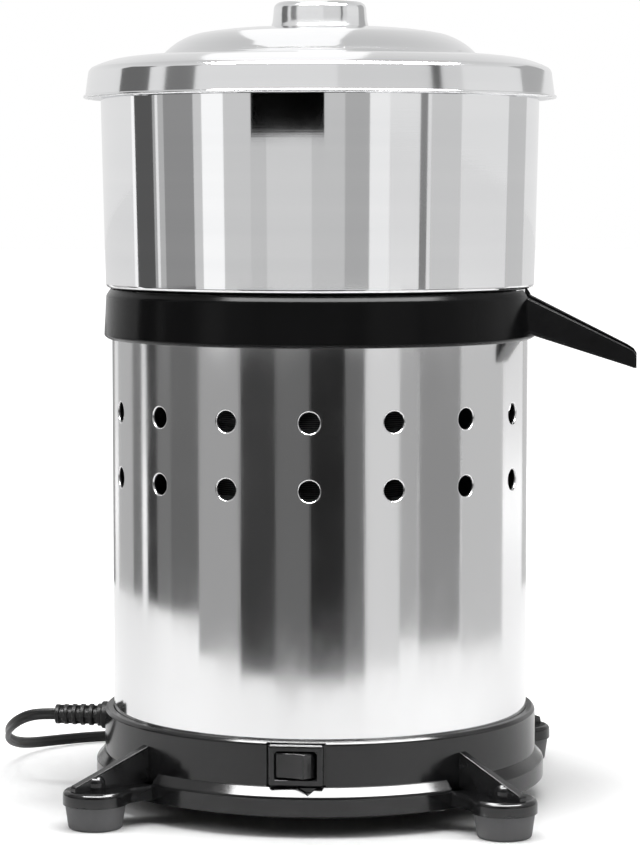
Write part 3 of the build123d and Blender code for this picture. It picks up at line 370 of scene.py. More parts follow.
# colour, worn, specular, rub, breakup, dust, cloud, clean, marked, grain, peel, share, depth
mouldSet = {
    "base_plastic": ((0.006, 0.006, 0.0064), (0.06, 0.06, 0.062), 0.5, 0.45, 120, 0.06, 22, 0.12, 0.2, 2600, 260,
                     0.25, 0.06),
    "tray_plastic": ((0.004, 0.004, 0.0042), (0.05, 0.05, 0.052), 0.09, 0.5, 120, 0.05, 20, 0.13, 0.22, 2400, 300,
                     0.7, 0.1),
    "cover_plastic": (0.02, 0.08, 0.25, 0.4, 90, 0.2, 25, 0.45, 0.6, 1600, 240, 1, 0.25),
    "foot_rubber": ((0.1, 0.1, 0.102), 0.2, 0.4, 0.4, 150, 0.25, 60, 0.45, 0.62, 2200, 500, 1, 0.3),
    "switch_plastic": ((0.009, 0.009, 0.0095), (0.08, 0.08, 0.082), 0.5, 0.4, 200, 0.05, 60, 0.14, 0.24, 3200, 500,
                       0.6, 0.1),
    "rocker_plastic": ((0.009, 0.009, 0.0095), 0.09, 0.5, 0.5, 200, 0.04, 80, 0.13, 0.22, 3200, 500, 0.4, 0.08),
    "relief_plastic": (0.016, 0.07, 0.25, 0.4, 200, 0.12, 60, 0.36, 0.5, 2400, 600, 0.8, 0.15),
    "cord_sheath": (0.014, 0.06, 0.3, 0.2, 150, 0.12, 40, 0.3, 0.46, 2600, 420, 0.5, 0.15),
    "tie_plastic": (0.02, 0.07, 0.3, 0.3, 300, 0.15, 90, 0.7, 0.9, 1300, 700, 1, 0.9),
    "plug_plastic": ((0.015, 0.015, 0.0155), 0.08, 0.3, 0.5, 150, 0.1, 50, 0.32, 0.48, 2400, 360, 0.8, 0.15),
    "seal_rubber": (0.025, 0.06, 0.4, 0.2, 200, 0.1, 80, 0.4, 0.6, 2400, 500, 0.8, 0.2),
    "fan_plastic": (0.05, 0.12, 0.45, 0.3, 120, 0.3, 60, 0.45, 0.6, 1800, 300, 0.8, 0.2),
    "reamer_plastic": ((0.8, 0.79, 0.755), (0.72, 0.68, 0.56), 0.5, 0.2, 60, 0.06, 30, 0.22, 0.36, 2400, 260, 0.3,
                       0.06),
}

finishes = {"body_steel": makeBodySteel(**bodySteelSet), "core_steel": makeCoreSteel(**coreSteelSet),
            "copper": makeWindingCopper(**copperSet)}
for slotName, values in aluminiumSet.items():
    finishes[slotName] = makeSpunAluminium(*values)
for make, table in ((makePlainMetal, metalSet), (makeMoulded, mouldSet)):
    for slotName, values in table.items():
        finishes[slotName] = make(slotName, *values)
print("finishes:", len(finishes))

for part in frame["record"]["subparts"]:
    mesh = frame["nodes"][part["node"]].data
    mesh.materials.clear()
    mesh.materials.append(finishes[part["material_slot"]])


# shaping helpers; outlines are in millimetres, meshes in metres

def outline(points, closed=True, segments=5):
    # a wire in the XZ plane; a point with a round corner carries its radius
    bm = bmesh.new()
    verts = [bm.verts.new((x * mm, 0, z * mm)) for x, z, *corner in points]
    for pair in zip(verts, verts[1:] + (verts[:1] if closed else [])):
        bm.edges.new(pair)
    for vert, (x, z, *corner) in zip(verts, points):
        if any(corner):
            bmesh.ops.bevel(bm, geom=[vert], offset=corner[0] * mm, offset_type="OFFSET", affect="VERTICES",
                            segments=segments, profile=0.5, material=-1)
    return bm


def rectangle(left, low, right, high, corners=(0, 0, 0, 0)):
    places = ((left, low), (right, low), (right, high), (left, high))
    return [(*place, corner) for place, corner in zip(places, corners)]


def arcPoints(x, y, radius, start, end, steps):
    turns = [math.radians(start + (end - start) * index / steps) for index in range(steps + 1)]
    return [(x + radius * math.cos(turn), y + radius * math.sin(turn)) for turn in turns]


def newItems(made, kind):
    return [item for item in made["geom"] if isinstance(item, kind)]


def growEdges(bm, edges):
    # extrude some edges; gives the new points and the new edges between them
    made = bmesh.ops.extrude_edge_only(bm, edges=edges)
    verts = newItems(made, bmesh.types.BMVert)
    return verts, [edge for edge in newItems(made, bmesh.types.BMEdge) if set(verts).issuperset(edge.verts)]


def tidyShell(bm):
    bmesh.ops.remove_doubles(bm, verts=bm.verts, dist=1e-6)
    bmesh.ops.dissolve_degenerate(bm, dist=1e-7, edges=bm.edges)
    bmesh.ops.recalc_face_normals(bm, faces=bm.faces)
    return bm


def moveVerts(bm, verts, x=0, y=0, z=0):
    bmesh.ops.translate(bm, verts=verts, vec=(x * mm, y * mm, z * mm))


def moveParts(bm, matrix):
    bmesh.ops.transform(bm, matrix=matrix, verts=bm.verts)
    return bm


def turnTo(bm, angle):
    # from +X, where a part is drawn, to an angle counted from the switch towards the spout
    return moveParts(bm, turned(angle - 90))


def spinAbout(bm, sweep, steps, **options):
    bmesh.ops.spin(bm, geom=bm.verts[:] + bm.edges[:] + bm.faces[:], cent=(0, 0, 0), axis=(0, 0, 1), dvec=(0, 0, 0),
                   angle=math.radians(sweep), steps=steps, **options)
    return bm


def spinRound(bm, steps, sweep=360):
    spinAbout(bm, sweep, steps, use_merge=sweep == 360, use_duplicate=False)
    if sweep < 360:
        bmesh.ops.holes_fill(bm, edges=[edge for edge in bm.edges if edge.is_boundary], sides=0)
    return tidyShell(bm)


def lathe(points, steps, sweep=360, segments=5):
    return spinRound(outline(points, segments=segments), steps, sweep)


def repeatRound(bm, count):
    return spinAbout(bm, 360 * (count - 1) / count, count - 1, use_merge=False, use_duplicate=True)


def fillOutline(bm):
    bmesh.ops.contextual_create(bm, geom=bm.edges[:])
    return bm


def growFaces(bm, faces, keep=False):
    # extrude some faces; the old ones go, or stay where they close an end
    edges = [] if keep else {edge for face in faces for edge in face.edges}
    made = bmesh.ops.extrude_face_region(bm, geom=[*faces, *edges], use_keep_orig=keep)
    return newItems(made, bmesh.types.BMVert), newItems(made, bmesh.types.BMFace)


def pushFace(bm, **way):
    # raise a flat face into a solid
    verts, faces = growFaces(bm, bm.faces[:], keep=True)
    moveVerts(bm, verts, **way)
    return tidyShell(bm)


def sinkFaces(bm, faces, depth):
    # let some faces at the front into the piece
    verts, faces = growFaces(bm, faces)
    moveVerts(bm, verts, y=depth)


def slab(points, thick):
    # a plate in the XZ plane, half its thickness to each side
    return moveParts(pushFace(fillOutline(outline(points)), y=thick), shifted(y=-thick / 2))


def softenEdges(bm, width, segments=3, keep=None, angle=30):
    # bevel the sharp edges, or only those that keep accepts
    edges = [edge for edge in bm.edges if edge.is_manifold and edge.calc_face_angle() > math.radians(angle)
             and (keep is None or keep(edge))]
    bmesh.ops.bevel(bm, geom=edges, offset=width * mm, offset_type="OFFSET", affect="EDGES", segments=segments,
                    profile=0.5, material=-1, clamp_overlap=True)
    return bm


def cutPlane(bm, near, place, way):
    # cut along a plane, only the faces whose centre is near
    faces = [face for face in bm.faces if near(face.calc_center_median())]
    geom = {item for face in faces for item in (*face.verts, *face.edges)}
    bmesh.ops.bisect_plane(bm, geom=[*faces, *geom], plane_co=place, plane_no=way, dist=1e-7)


def cutWindow(bm, low, high, axes, close=True, margin=12):
    # a box-shaped opening in a wall, cut across two axes and closed between the wall's two faces
    low, high = Vector(low) * mm, Vector(high) * mm
    middle, reach = (low + high) / 2, (high - low).length + margin * mm
    for axis in axes:
        for place in (low, high):
            cutPlane(bm, lambda centre: (centre - middle).length < reach, place, Matrix.Identity(3)[axis])
    inside = [face for face in bm.faces
              if all(low[axis] < face.calc_center_median()[axis] < high[axis] for axis in range(3))]
    bmesh.ops.delete(bm, geom=inside, context="FACES")
    if close:
        bmesh.ops.bridge_loops(bm, edges=[edge for edge in bm.edges if edge.is_boundary])
    return bm


def sinkPatch(bm, near, planes, inside, depth, forward=-0.3):
    # a patch of the front, cut out by planes and let in; forward is where its normals have to point
    for place, way in planes:
        cutPlane(bm, near, place, way)
    sinkFaces(bm, [face for face in bm.faces if face.normal.y < forward and inside(face.calc_center_median())], depth)
    return bm


def addPart(bm, part):
    mesh = bpy.data.meshes.new("part")
    part.to_mesh(mesh)
    part.free()
    bm.from_mesh(mesh)
    bpy.data.meshes.remove(mesh)
    return bm


def makePiece(name, bm, body, slotName, *nodes, sharp=40, weighted=True):
    piece = meshObject(name, bm)
    mesh = piece.data
    mesh.shade_smooth()
    mesh.set_sharp_from_angle(angle=math.radians(sharp))
    if weighted:
        piece.modifiers.new("weightedNormals", "WEIGHTED_NORMAL").keep_sharp = True
    mesh.materials.append(finishes[slotName])
    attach(piece, body)
    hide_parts(*nodes)
    print("piece", piece.name, len(mesh.polygons), "faces")
    return piece


# mains cord: flat twin lead, coil with its band, and the plug; the route is in metres

cordSet = {
    "route": ((-0.1305, 0.0, 0.0356), (-0.1385, 0.0, 0.0356), (-0.1463, 0.0028, 0.0336), (-0.153, 0.0087, 0.0294),
              (-0.1589, 0.0199, 0.0238), (-0.1629, 0.0379, 0.0165), (-0.1636, 0.0588, 0.0101),
              (-0.1605, 0.08, 0.0055), (-0.1505, 0.0995, 0.0036), (-0.132, 0.1145, 0.0032),
              (-0.107, 0.1225, 0.0032), (-0.0775, 0.125, 0.0032), (-0.047, 0.1223, 0.0035), (-0.022, 0.118, 0.0042),
              (-0.0056, 0.118, 0.0042)),
    "tail": ((-0.0056, 0.192, 0.0104), (-0.016, 0.192, 0.0104), (-0.028, 0.192, 0.0074), (-0.042, 0.192, 0.0074)),
    "coil": {"turns": 2, "climb": 0.5, "radius": 0.037, "pitch": 0.0064, "y": 0.155, "z": 0.0042, "rise": 0.0062},
    "pointsPerTurn": 16, "lobe": 0.0014, "lobeAngle": 52, "lobeSteps": 9, "length": 1.17, "width": 0.0056,
    "smoothing": 5,
}


def coilPoint(turn, turns, climb, radius, pitch, y, z, rise):
    # spirals in, climbs one layer in half a turn and spirals out again
    share = min(max((turn - turns) / climb, 0), 1)
    inwards, outwards = max(turns - turn, 0), max(turn - turns - climb, 0)
    reach = radius - pitch * turns + pitch * (inwards + outwards - climb * share * (1 - share))
    angle = 2 * math.pi * (turn - 0.25)  # from the side next to the machine
    return reach * math.cos(angle), y + reach * math.sin(angle), z + rise * share * share * (3 - 2 * share)


def addCurve(name, dimensions, kind, points):
    data = bpy.data.curves.new(name, "CURVE")
    data.dimensions = dimensions
    spline = data.splines.new(kind)
    spline.points.add(len(points) - 1)
    for point, place in zip(spline.points, points):
        point.co = (*place, 1)
    return addObject(name, data), spline


def twinProfile(values):
    # two round cores side by side, joined in a groove
    lobe, tilt = values["lobe"], values["lobeAngle"]
    half = arcPoints(0, lobe, lobe, -tilt, 180 + tilt, values["lobeSteps"] - 1)
    points = [(x, y, 0) for x, y in half] + [(-x, -y, 0) for x, y in half]
    profile, spline = addCurve("twinProfile", "2D", "POLY", points)
    spline.use_cyclic_u = True
    return profile


def evaluatedMesh(curve):
    return bpy.data.meshes.new_from_object(curve.evaluated_get(bpy.context.evaluated_depsgraph_get()))


def makeCord(values):
    coil = values["coil"]
    lastTurn = 2 * coil["turns"] + coil["climb"]
    count = int(lastTurn * values["pointsPerTurn"])
    turns = [coilPoint(lastTurn * index / count, **coil) for index in range(count + 1)]
    curve, spline = addCurve("mainsCordLine", "3D", "NURBS", [*values["route"], *turns, *values["tail"]])
    spline.order_u = 3
    spline.use_endpoint_u = True
    curve.data.twist_mode = "Z_UP"
    curve.data.resolution_u = spline.resolution_u = values["smoothing"]
    path = [tuple(vert.co) for vert in evaluatedMesh(curve).vertices]
    profile = twinProfile(values)
    curve.data.bevel_mode = "OBJECT"
    curve.data.bevel_object = profile
    curve.data.use_fill_caps = True
    bm = bmesh.new()
    bm.from_mesh(evaluatedMesh(curve))
    tidyShell(bm)
    for helper in (curve, profile):
        bpy.data.objects.remove(helper)
    cord = makePiece("mainsCord", bm, "base", "cord_sheath", "cord_lead", "cord_coil", "cord_tail", sharp=70)
    return cord, path


tieSet = {"left": -34.4, "right": -22, "low": 0.2, "high": 14.7, "thick": 1, "corner": 2, "middle": 155, "width": 8,
          "edge": 0.25}


def makeTie(left, right, low, high, thick, corner, middle, width, edge):
    # soft band round the coil
    bm = fillOutline(outline(rectangle(left, low, right, high, [corner] * 4)))
    bmesh.ops.inset_region(bm, faces=bm.faces[:], thickness=thick * mm, use_boundary=True, use_even_offset=True)
    bmesh.ops.delete(bm, geom=[max(bm.faces, key=lambda face: face.calc_area())], context="FACES")
    moveParts(pushFace(bm, y=width), shifted(y=middle - width / 2))
    softenEdges(bm, edge, segments=2, angle=60)
    return makePiece("coilBand", bm, "base", "tie_plastic", "coil_tie")


# drawn standing on its cord; each section has a height and a share of the full size
plugSet = {
    "place": (-42, 192, 7.4), "halfWidth": 17.6, "halfWaist": 11.6, "halfHeight": 7.3, "corner": 3.2,
    "sections": ((10, 0.45), (14, 0.52), (21, 0.8), (28, 0.99), (29, 0.95), (43, 0.95), (43.6, 1), (45.4, 1),
                 (46, 0.96)),
    "neck": ((0, 0), (3.7, 0, 0.4), (4, 5), (5.2, 11), (0, 11)),
    "grips": (28.4, 32.2, 36, 39.8), "gripWidth": 2, "gripEdge": 0.4,
    "pin": ((0, 45), (2, 45), (2, 65, 0.9), (0, 65)), "pinSpacing": 19,
}


def layPlug(bm, place):
    # laid down so that the pins point along -X
    return moveParts(bm, shifted(*place) @ turned(-90, "Y") @ turned(90))


def plugSection(values):
    wide, waist, high, corner = (values[key] for key in ("halfWidth", "halfWaist", "halfHeight", "corner"))
    places = ((wide, 0), (waist, high), (-waist, high), (-wide, 0), (-waist, -high), (waist, -high))
    return fillOutline(moveParts(outline([(*place, corner) for place in places], segments=4), turned(90, "X")))


def makePlug(values):
    (reach, size), *others = values["sections"]
    bm = moveParts(plugSection(values), shifted(z=reach) @ Matrix.Diagonal((size, size, 1, 1)))
    faces = bm.faces[:]
    for index, (height, share) in enumerate(others):
        verts, faces = growFaces(bm, faces, keep=index == 0)
        bmesh.ops.scale(bm, vec=(share / size, share / size, 1), verts=verts)
        moveVerts(bm, verts, z=height - reach)
        reach, size = height, share
    tidyShell(bm)
    addPart(bm, lathe(values["neck"], steps=32))
    for height in values["grips"]:
        ridge = pushFace(moveParts(plugSection(values), shifted(z=height)), z=values["gripWidth"])
        addPart(bm, softenEdges(ridge, values["gripEdge"], segments=2, angle=50))
    return makePiece("mainsPlug", layPlug(bm, values["place"]), "base", "plug_plastic", "plug_body", sharp=45)


def makePins(values):
    bm = bmesh.new()
    for side in (-0.5, 0.5):
        addPart(bm, moveParts(lathe(values["pin"], steps=24), shifted(side * values["pinSpacing"])))
    return makePiece("plugPins", layPlug(bm, values["place"]), "base", "contact_brass", "plug_pins")


cord, cordPath = makeCord(cordSet)
cordPieces = [makePlug(plugSet), makePins(plugSet), makeTie(**tieSet)]
print("cord laid:", len(cordPath), "points")


# body tube: a flat strip with its two vents, bent round and repeated

tubeSet = {
    "radius": 100, "thick": 0.8, "low": 20, "split": 48, "high": 226, "vents": 16, "firstVent": 3.2, "rows": (157, 188),
    "grid": 10, "gridSteps": 12, "cut": 6.7, "rim": ((5.6, 0), (5.2, 0.08), (4.95, 0.3), (4.8, 0.8), (4.8, 1.6)),
    "switchNotch": ((-11.8, -102, 19), (11.8, -80, 41.2)), "cordNotch": ((-102, -7.9, 19), (-80, 7.9, 43.5)),
    "skin": 0.05,
}


def gridSheet(across, up):
    # a flat sheet in the XZ plane, divided where the two lists say
    bm = outline([(x, up[0]) for x in across], closed=False)
    row = bm.edges[:]
    for below, above in zip(up, up[1:]):
        verts, row = growEdges(bm, row)
        moveVerts(bm, verts, z=above - below)
    return bm


def pierceVent(bm, height, cut, rim):
    # a square of faces goes, and its edge is drawn in to a round rim, ring by ring
    def inside(place):
        return abs(place.x) < cut and abs(place.z - height) < cut

    square = [face for face in bm.faces if inside(face.calc_center_median())]
    bmesh.ops.delete(bm, geom=square, context="FACES")
    loop = [edge for edge in bm.edges if edge.is_boundary and all(inside(vert.co) for vert in edge.verts)]
    for size, depth in rim:
        verts, loop = growEdges(bm, loop)
        for vert in verts:
            out = Vector((vert.co.x, vert.co.z - height)).normalized() * size * mm
            vert.co = (out.x, depth * mm, height + out.y)


def makeTube(radius, thick, low, split, high, vents, firstVent, rows, grid, gridSteps, cut, rim, switchNotch, cordNotch,
             skin):
    half = math.pi * radius / vents
    fine = [grid * (2 * index / gridSteps - 1) for index in range(gridSteps + 1)]
    across = [-half, -(half + grid) / 2, *fine, (half + grid) / 2, half]
    bm = gridSheet(across, [low, split, *[row + step for row in rows for step in fine], high])
    for row in rows:
        pierceVent(bm, row * mm, cut * mm, rim)
    for vert in bm.verts:
        angle, reach = vert.co.x / (radius * mm), radius * mm - vert.co.y
        vert.co = (reach * math.sin(angle), -reach * math.cos(angle), vert.co.z)
    tidyShell(repeatRound(moveParts(bm, turned(firstVent)), vents))
    cutWindow(bm, *switchNotch, (0, 2), close=False)
    cutWindow(bm, *cordNotch, (1, 2), close=False)
    bmesh.ops.solidify(bm, geom=bm.faces[:], thickness=thick * mm)
    tube = makePiece("bodyTube", bm, "base", "body_steel", "body_shell", sharp=55, weighted=False)
    normals = []  # the outside is shaded as a true round, everything else as it is
    for vert in tube.data.vertices:
        outer = abs(vert.co.xy.length - radius * mm) < skin * mm
        normals.append((*vert.co.xy.normalized(), 0) if outer else (0, 0, 0))
    tube.data.normals_split_custom_set_from_vertices(normals)
    print("tube radius", max(vert.co.xy.length for vert in tube.data.vertices))


makeTube(**tubeSet)


# base moulding: ring, broken flange, four arms with their ribs and bosses

baseSet = {
    "ring": ((97, 9.8, 0.4), (100.4, 9.8, 0.4), (100.4, 17.6), (105.4, 17.6), (105.4, 9.8, 0.5), (108.5, 9.8, 0.7),
             (108.5, 18, 0.5), (104.4, 18), (104.4, 42.2, 0.5), (103.2, 43.6, 0.5), (100.3, 43.6, 0.2), (100.3, 20),
             (88, 20, 0.5), (88, 16.5, 0.5), (97, 16.5)),
    "flange": ((103.8, 17.4), (108.5, 17.4), (108.5, 18.6, 0.7), (104.6, 22.9, 0.5), (103.8, 23)),
    "arms": (45, 135, 225, 315), "gap": 5.2, "post": ((0, 9.5), (6, 9.5, 0.4), (6, 36, 0.6), (0, 36)), "postAt": 87,
    "recess": {"half": 13.6, "low": 22.5, "high": 43, "depth": 2.4}, "seat": ((-11, -112, 25.4), (11, -90, 40.4)),
    "pip": {"angle": 3, "width": 8.6, "low": 19.4, "high": 22.7, "depth": 2.2, "near": 9, "behind": -104.2},
}

armSet = {
    "padAt": 133, "padRadius": 15, "low": 11.4, "high": 18, "neck": 10, "fillet": 7, "root": 98, "edge": 2.3,
    "rib": ((101, 17), (145.5, 17), (145.5, 20.5, 1), (104, 35, 0.8), (101, 35)), "ribThick": 4, "ribEdge": 1.95,
    "boss": ((0, 17), (4.6, 17), (4.6, 24.2, 3.2), (0, 24.2)),
}


def flatPlate(points, low, high):
    bm = bmesh.new()
    bm.faces.new([bm.verts.new((x * mm, y * mm, low * mm)) for x, y in points])
    return pushFace(bm, z=high - low)


def makeArm(padAt, padRadius, low, high, neck, fillet, root, edge, rib, ribThick, ribEdge, boss):
    # a round pad on a neck, with hollow corners between them
    side, span = neck + fillet, padRadius + fillet
    lean = math.asin(side / span)
    bendAt, tilt = padAt - span * math.cos(lean), math.degrees(lean)
    plan = [(root, -neck), *arcPoints(bendAt, -side, fillet, 90, tilt, steps=6),
            *arcPoints(padAt, 0, padRadius, tilt - 180, 180 - tilt, steps=40)[1:-1],
            *arcPoints(bendAt, side, fillet, -tilt, -90, steps=6), (root, neck)]
    arm = flatPlate(plan, low, high)

    def upper(line):
        return all(vert.co.z > high * mm - slack for vert in line.verts)

    softenEdges(arm, edge, segments=4, keep=upper)
    addPart(arm, softenEdges(slab(rib, ribThick), ribEdge, segments=5, keep=upper, angle=60))
    return addPart(arm, moveParts(lathe(boss, steps=32), shifted(padAt)))


def cutPip(bm, angle, width, low, high, depth, near, behind):
    # small three-cornered notch in the slope under the switch, pointing down
    half, low, high = width / 2 * mm, low * mm, high * mm
    turn = turned(angle).to_3x3()
    tip, rise = (0, 0, low), high - low
    planes = (((0, 0, high), (0, 0, 1)), (tip, (rise, 0, -half)), (tip, (-rise, 0, -half)))

    def inside(centre):
        place = turn.inverted() @ centre
        share = (place.z - low) / rise
        return 0 < share < 1 and abs(place.x) < half * share and place.y < behind * mm

    return sinkPatch(bm, lambda centre: abs((turn.inverted() @ centre).x) < near * mm and centre.y < 0,
                     [(turn @ Vector(place), turn @ Vector(way).normalized()) for place, way in planes],
                     inside, depth)


def cutRecess(bm, half, low, high, depth):
    # shallow bed for the frame of the switch, a little wider than it
    half, low, high = half * mm, low * mm, high * mm
    planes = [((side, 0, 0), (1, 0, 0)) for side in (half, -half)] + [((0, 0, z), (0, 0, 1)) for z in (low, high)]
    return sinkPatch(bm, lambda centre: abs(centre.x) < 2 * half and centre.y < 0, planes,
                     lambda centre: abs(centre.x) < half and low < centre.z < high, depth)


def makeBase(ring, flange, arms, gap, post, postAt, recess, seat, pip):
    bm = cutRecess(lathe(ring, steps=144, segments=3), **recess)
    cutWindow(bm, *seat, (0, 2))
    for angle in arms:
        slope = turnTo(lathe(flange, steps=48, sweep=90 - 2 * gap, segments=3), angle + gap)
        if angle == arms[-1]:
            cutPip(slope, **pip)
        addPart(bm, slope)
        addPart(bm, turnTo(makeArm(**armSet), angle))
        addPart(bm, turnTo(moveParts(lathe(post, steps=24), shifted(postAt)), angle))
    return makePiece("baseMoulding", bm, "base", "base_plastic", "base_moulding", sharp=38)


makeBase(**baseSet)

footSet = {
    "outline": ((2.2, 5.5), (5, 5.5, 0.3), (5, 0, 0.6), (12.4, 0, 1.3), (14, 11.4, 0.5), (5, 11.4), (5, 13.4),
                (2.2, 13.4)),
    "places": {"front_right": 45, "rear_right": 135, "rear_left": 225, "front_left": 315}, "at": 133,
}

for place, angle in footSet["places"].items():
    foot = turnTo(moveParts(lathe(footSet["outline"], steps=64, segments=4), shifted(footSet["at"])), angle)
    makePiece("foot_" + place, foot, "base", "foot_rubber", "rubber_foot_" + place)


# rocker switch: frame with a well, and the rocker tipped in it

frameSet = {"z": 32.9, "width": 25.4, "height": 19.2, "corner": 1.4, "front": -106.4, "plate": 3.2, "border": 4,
            "slope": 0.3, "well": 11.6, "boxWidth": 22, "boxHeight": 15, "boxBack": -86, "edge": 1, "wellCorner": 1.8}

rockerSet = {
    "z": 32.9, "pivot": -101.7, "tilt": -11, "height": 11.6, "edge": 0.8,
    "side": ((-8.6, -5.4, 0.8), (-1, -5, 5), (5.4, -7.2, 0.6), (8.9, -1.4, 0.8), (8.9, 1.5, 1), (4, 6, 1), (-4, 6, 1),
             (-8.9, 1.5, 1)),
    "trunnion": ((0, -7.3), (1.5, -7.3), (1.5, 7.3), (0, 7.3)),
}


def makeSwitchFrame(z, width, height, corner, front, plate, border, slope, well, boxWidth, boxHeight, boxBack, edge,
                    wellCorner):
    bm = fillOutline(outline(rectangle(-width / 2, -height / 2, width / 2, height / 2)))
    verts, rim = growEdges(bm, bm.edges[:])
    moveVerts(bm, verts, y=plate)
    verts, rim = growEdges(bm, rim)
    bmesh.ops.scale(bm, verts=verts, vec=(boxWidth / width, 1, boxHeight / height))
    verts, rim = growEdges(bm, rim)
    moveVerts(bm, verts, y=boxBack - front - plate)
    bmesh.ops.holes_fill(bm, edges=rim, sides=0)
    tidyShell(bm)
    face = min(bm.faces, key=lambda face: face.calc_center_median().y)
    bmesh.ops.inset_region(bm, faces=[face], thickness=border * mm)
    bmesh.ops.inset_region(bm, faces=[face], thickness=slope * mm, depth=-slope * mm)
    sinkFaces(bm, [face], well)
    bmesh.ops.recalc_face_normals(bm, faces=bm.faces)
    wide, high, deep = width / 2 * mm - slack, height / 2 * mm - slack, plate * mm + slack

    def atCorner(line):
        return all(abs(vert.co.x) > wide and abs(vert.co.z) > high and vert.co.y < deep for vert in line.verts)

    def atFront(line):  # where the front meets a side
        return (all(abs(vert.co.y) < slack for vert in line.verts)
                and any(abs(face.normal.y) < 0.1 for face in line.link_faces))

    def inWell(line):  # runs from front to back
        first, second = (vert.co for vert in line.verts)
        return (all(abs(vert.co.x) < wide and abs(vert.co.z) < high for vert in line.verts)
                and abs((first - second).normalized().y) > 0.9)

    for size, segments, keep in ((corner, 4, atCorner), (edge, 3, atFront), (wellCorner, 4, inWell)):
        softenEdges(bm, size, segments, keep, angle=80)
    moveParts(bm, shifted(0, front, z))
    return makePiece("switchFrame", bm, "base", "switch_plastic", "switch_housing")


def makeRocker(z, pivot, tilt, height, edge, side, trunnion):
    bm = moveParts(fillOutline(outline(side, segments=4)), turned(-90, "X"))
    moveParts(pushFace(bm, z=height), shifted(z=-height / 2))
    addPart(softenEdges(bm, edge, angle=60), lathe(trunnion, steps=24))
    moveParts(bm, shifted(0, pivot, z) @ turned(tilt))
    return makePiece("switchRocker", bm, "rocker", "rocker_plastic", "switch_rocker")


makeSwitchFrame(**frameSet)
makeRocker(**rockerSet)


# strain relief: drawn standing up, laid along -X

reliefSet = {
    "z": 35.6, "ribs": 6, "start": 107.5, "end": 130.5, "ribRadius": 5.5, "tipRadius": 4.8, "ribCorner": 0.45,
    "sunk": 1, "coreRadius": 3.5, "coreCorner": 0.6, "webThick": 1.6, "webWidth": 9,
    "root": ((0, 94.5), (7, 94.5, 0.4), (7, 99.6, 0.4), (5.4, 99.6), (5.4, 104.6), (6.7, 104.6, 0.5),
             (6.7, 107.5, 0.8), (0, 107.5)),
}


def makeRelief(z, ribs, start, end, ribRadius, tipRadius, ribCorner, sunk, coreRadius, coreCorner, webThick, webWidth,
               root):
    step = (end - start) / (2 * ribs - 1)
    bm = lathe(root, steps=40)
    addPart(bm, lathe(rectangle(0, start, coreRadius, end, (0, 0, coreCorner, 0)), steps=32))
    for index in range(ribs):
        low = start + 2 * index * step
        size = ribRadius + (tipRadius - ribRadius) * index / (ribs - 1)
        rib = rectangle(coreRadius - sunk, low, size, low + step, (0, ribCorner, ribCorner, 0))
        addPart(bm, lathe(rib, steps=40, segments=3))
    for angle in (0, 90):
        web = slab(rectangle(-webThick / 2, start, webThick / 2, end), webWidth)
        addPart(bm, moveParts(web, turned(angle)))
    moveParts(bm, shifted(z=z) @ turned(-90, "Y"))
    return makePiece("strainRelief", bm, "base", "relief_plastic", "strain_relief")


makeRelief(**reliefSet)


# juice tray: floor and hub, wall with its gap, and the open spout, which goes through stations that each have
# a reach, half a width, a top and a bottom; drawn holds the last three as its outline has them

traySet = {
    "floor": ((9.5, 228), (9.5, 243), (12, 243), (12, 250, 0.4), (18, 250, 1), (20, 232.5, 1), (23, 230.5, 1),
              (100.2, 230.5), (100.2, 228)),
    "wall": ((99.8, 230.4), (99.8, 245, 0.3), (100.6, 245.6, 0.3), (102.8, 242.4, 0.7), (103.8, 223.1, 0.7),
             (101.8, 221.6, 0.5), (100.4, 221.6, 0.2), (100.4, 230.4)),
    "sill": ((100, 230.5), (103.39, 230.5), (103.8, 223.1, 0.7), (101.8, 221.6, 0.5), (100.4, 221.6, 0.2),
             (100.4, 229), (100, 229)),
    "gap": 11.9,
    "spout": ((-22, 242, 1.1), (-22, 224.8, 2.6), (22, 224.8, 2.6), (22, 242, 1.1), (19.4, 242, 0.8),
              (19.4, 230.5, 1.6), (-19.4, 230.5, 1.6), (-19.4, 242, 0.8)),
    "drawn": (22, 242, 224.8),
    "stations": ((99.6, 22, 242.4, 225.1), (147.5, 15.2, 218.6, 209.7), (150.6, 14.7, 216.6, 208.6),
                 (152, 14.4, 214.4, 208.4)),
    "rib": ((95.3, 230), (100.2, 230), (100.2, 239), (95.3, 239, 0.8)), "ribThick": 3, "ribs": 6,
}


def makeSpout(spout, drawn, stations):
    bm = fillOutline(outline(spout, segments=4))
    verts, faces = bm.verts[:], bm.faces[:]
    wide, high, low = drawn
    for index, (reach, newWide, newHigh, newLow) in enumerate(stations):
        if index:
            verts, faces = growFaces(bm, faces, keep=index == 1)
        for vert in verts:
            share = (vert.co.z - low * mm) / (high - low)
            vert.co = (vert.co.x * newWide / wide, reach * mm, newLow * mm + share * (newHigh - newLow))
        wide, high, low = newWide, newHigh, newLow
    return tidyShell(moveParts(bm, turned(-90)))


def makeTray(floor, wall, sill, gap, spout, drawn, stations, rib, ribThick, ribs):
    bm = lathe(floor, steps=128)
    addPart(bm, moveParts(lathe(wall, steps=160, sweep=360 - 2 * gap, segments=3), turned(gap)))
    addPart(bm, moveParts(lathe(sill, steps=12, sweep=2 * gap, segments=3), turned(-gap)))
    addPart(bm, makeSpout(spout, drawn, stations))
    addPart(bm, repeatRound(turnTo(slab(rib, ribThick), 0), ribs))
    return makePiece("juiceTray", bm, "base", "tray_plastic", "juice_tray", sharp=35)


makeTray(**traySet)


# bowl, lid and knob: spun and turned aluminium

bowlSet = {
    "wall": ((105.2, 348.2), (102.9, 246, 2), (98.6, 246, 0.8), (98.6, 239.3, 0.3), (97.4, 239.3, 0.3),
             (97.4, 247.2, 0.8), (101.7, 247.2, 1), (104, 348.2)),
    "bead": (106.1, 348.2, 1.6), "steps": 192,
}

